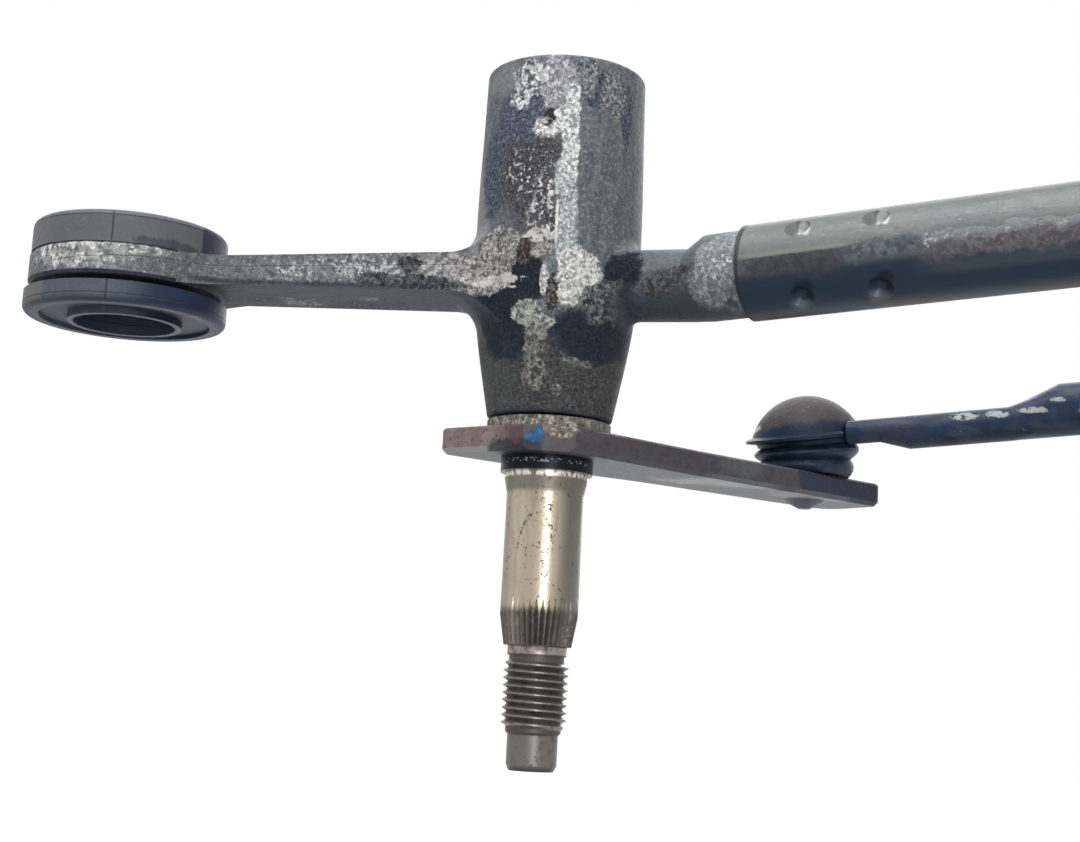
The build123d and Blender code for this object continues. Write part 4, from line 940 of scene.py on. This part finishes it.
def add_camera():
    """The camera at the photograph's viewing angle."""
    pitch, roll = math.radians(CAMERA_PITCH), math.radians(CAMERA_ROLL)
    forward = Vector((0, math.cos(pitch), math.sin(pitch)))
    level_right = Vector((1, 0, 0))
    level_up = level_right.cross(forward)
    right = level_right * math.cos(roll) + level_up * math.sin(roll)
    up = right.cross(forward)
    data = bpy.data.cameras.new("camera")
    data.lens = LENS
    data.sensor_width = SENSOR_WIDTH
    data.clip_start = 10 * MM
    camera = bpy.data.objects.new("camera", data)
    turn = Matrix((right, up, -forward)).transposed().to_4x4()
    camera.matrix_world = Matrix.Translation(Vector(CAMERA_PLACE) * MM) @ turn
    bpy.context.scene.collection.objects.link(camera)
    bpy.context.scene.camera = camera


def seen_directly(tree):
    """1 for camera, mirror and glass rays, 0 for rays that only carry light."""
    path = put(tree, "ShaderNodeLightPath")
    seen = maths(tree, "MAXIMUM", path.outputs["Is Camera Ray"], path.outputs["Is Glossy Ray"])
    return maths(tree, "MAXIMUM", seen, path.outputs["Is Transmission Ray"])


def add_floor():
    """A pale floor that keeps the object's shadow and goes white further out."""
    size, z = FLOOR_REACH, FLOOR_HEIGHT * MM
    corners = [(-size, -size, z), (size, -size, z), (size, size, z), (-size, size, z)]
    mesh = bpy.data.meshes.new("floor")
    mesh.from_pydata(corners, [], [(0, 1, 2, 3)])
    floor = bpy.data.objects.new("floor", mesh)
    bpy.context.scene.collection.objects.link(floor)
    material = bpy.data.materials.new("pale floor")
    material.use_nodes = True
    tree = material.node_tree
    shader = tree.nodes["Principled BSDF"]
    shader.inputs["Base Color"].default_value = rgb(FLOOR_GREY, FLOOR_GREY, FLOOR_GREY)
    shader.inputs["Roughness"].default_value = 0.9
    shader.inputs["Specular IOR Level"].default_value = 0.1
    shader.inputs["Emission Color"].default_value = rgb(1, 1, 1)
    place = put(tree, "ShaderNodeTexCoord").outputs["Object"]
    away = put(tree, "ShaderNodeVectorMath", {0: place}, operation="LENGTH").outputs["Value"]
    glow = ramp(tree, away, GLOW_STARTS, GLOW_FULL, GLOW_NEAR, GLOW_FAR)
    strength = open_maths(tree, "MULTIPLY", seen_directly(tree), glow)
    wire(tree, strength, shader.inputs["Emission Strength"])
    mesh.materials.append(material)


def add_world():
    """White where it is seen, and a plain low light on the object."""
    world = bpy.data.worlds.new("studio")
    world.use_nodes = True
    bpy.context.scene.world = world
    tree = world.node_tree
    background = tree.nodes["Background"]
    background.inputs["Color"].default_value = rgb(1, 1, 1)
    strength = ramp(tree, seen_directly(tree), 0.0, 1.0, WORLD_LIGHT, 1.0)
    wire(tree, strength, background.inputs["Strength"])


def add_lamp(name, place, aim, size, power, size_y=None):
    """A square area lamp, or an oblong one where size_y is given, in metres and watts."""
    data = bpy.data.lights.new(name, "AREA")
    data.energy = power
    data.size = size
    if size_y:
        data.shape = "RECTANGLE"
        data.size_y = size_y
    lamp = bpy.data.objects.new(name, data)
    lamp.location = place
    lamp.rotation_euler = (Vector(aim) - Vector(place)).to_track_quat("-Z", "Y").to_euler()
    bpy.context.scene.collection.objects.link(lamp)


def add_light():
    """A softbox above, an upright strip in front and a weaker softbox behind."""
    add_lamp("top softbox", place=(-0.15, -0.30, 0.85), aim=(0.02, 0, 0.04), size=0.7, power=8.0)
    add_lamp("front strip", place=(0.10, -0.62, 0.06), aim=(0, 0, 0.02), size=0.10, power=1.6,
             size_y=0.5)
    add_lamp("rear softbox", place=(0.15, 0.75, 0.40), aim=(0.02, 0, 0.04), size=0.7, power=4.0)


def dress_all():
    """Give every piece its finish."""
    dress(["pivot_housing"], cast_housing_finish())
    dress(["frame_tube"], tube_finish())
    dress(["mount_grommet"], mount_rubber_finish())
    dress(["spindle"], spindle_finish())
    dress(["crank_lever"], lever_finish())
    dress(["lower_thrust_washer", "upper_thrust_washer"], washer_finish())
    dress(["drive_link"], link_finish())
    dress(["crank_socket_cap"], cap_finish("crank cap, dusty", middle("crank_socket_cup")))
    dress(["motor_socket_cap"], cap_finish("far cap, dusty", middle("motor_socket_cup")))
    dress(["crank_ball_boot", "motor_ball_boot"], boot_finish())
    dress(["crank_socket_cup", "motor_socket_cup"], cup_finish())
    dress(["shaft_seal"], seal_finish())
    for nodes, name, colour, stain, roughness in (
            (["grommet_sleeve"], "sleeve steel", (0.16, 0.16, 0.165), (0.09, 0.07, 0.06), 0.45),
            (["ball_stud"], "stud steel", (0.075, 0.085, 0.105), (0.04, 0.045, 0.06), 0.4),
            (["lower_bush", "upper_bush"], "bush bronze",
             (0.5, 0.36, 0.18), (0.25, 0.16, 0.08), 0.4),
            (["spring_washer", "retaining_ring"], "spring steel",
             (0.12, 0.12, 0.125), (0.05, 0.05, 0.055), 0.35)):
        dress(nodes, plain_metal_finish(name, colour, stain, roughness))
    thread_ridge(thread_finish())


add_camera()
add_floor()
add_world()
add_light()
dress_all()
bpy.context.scene.view_settings.view_transform = "Standard"
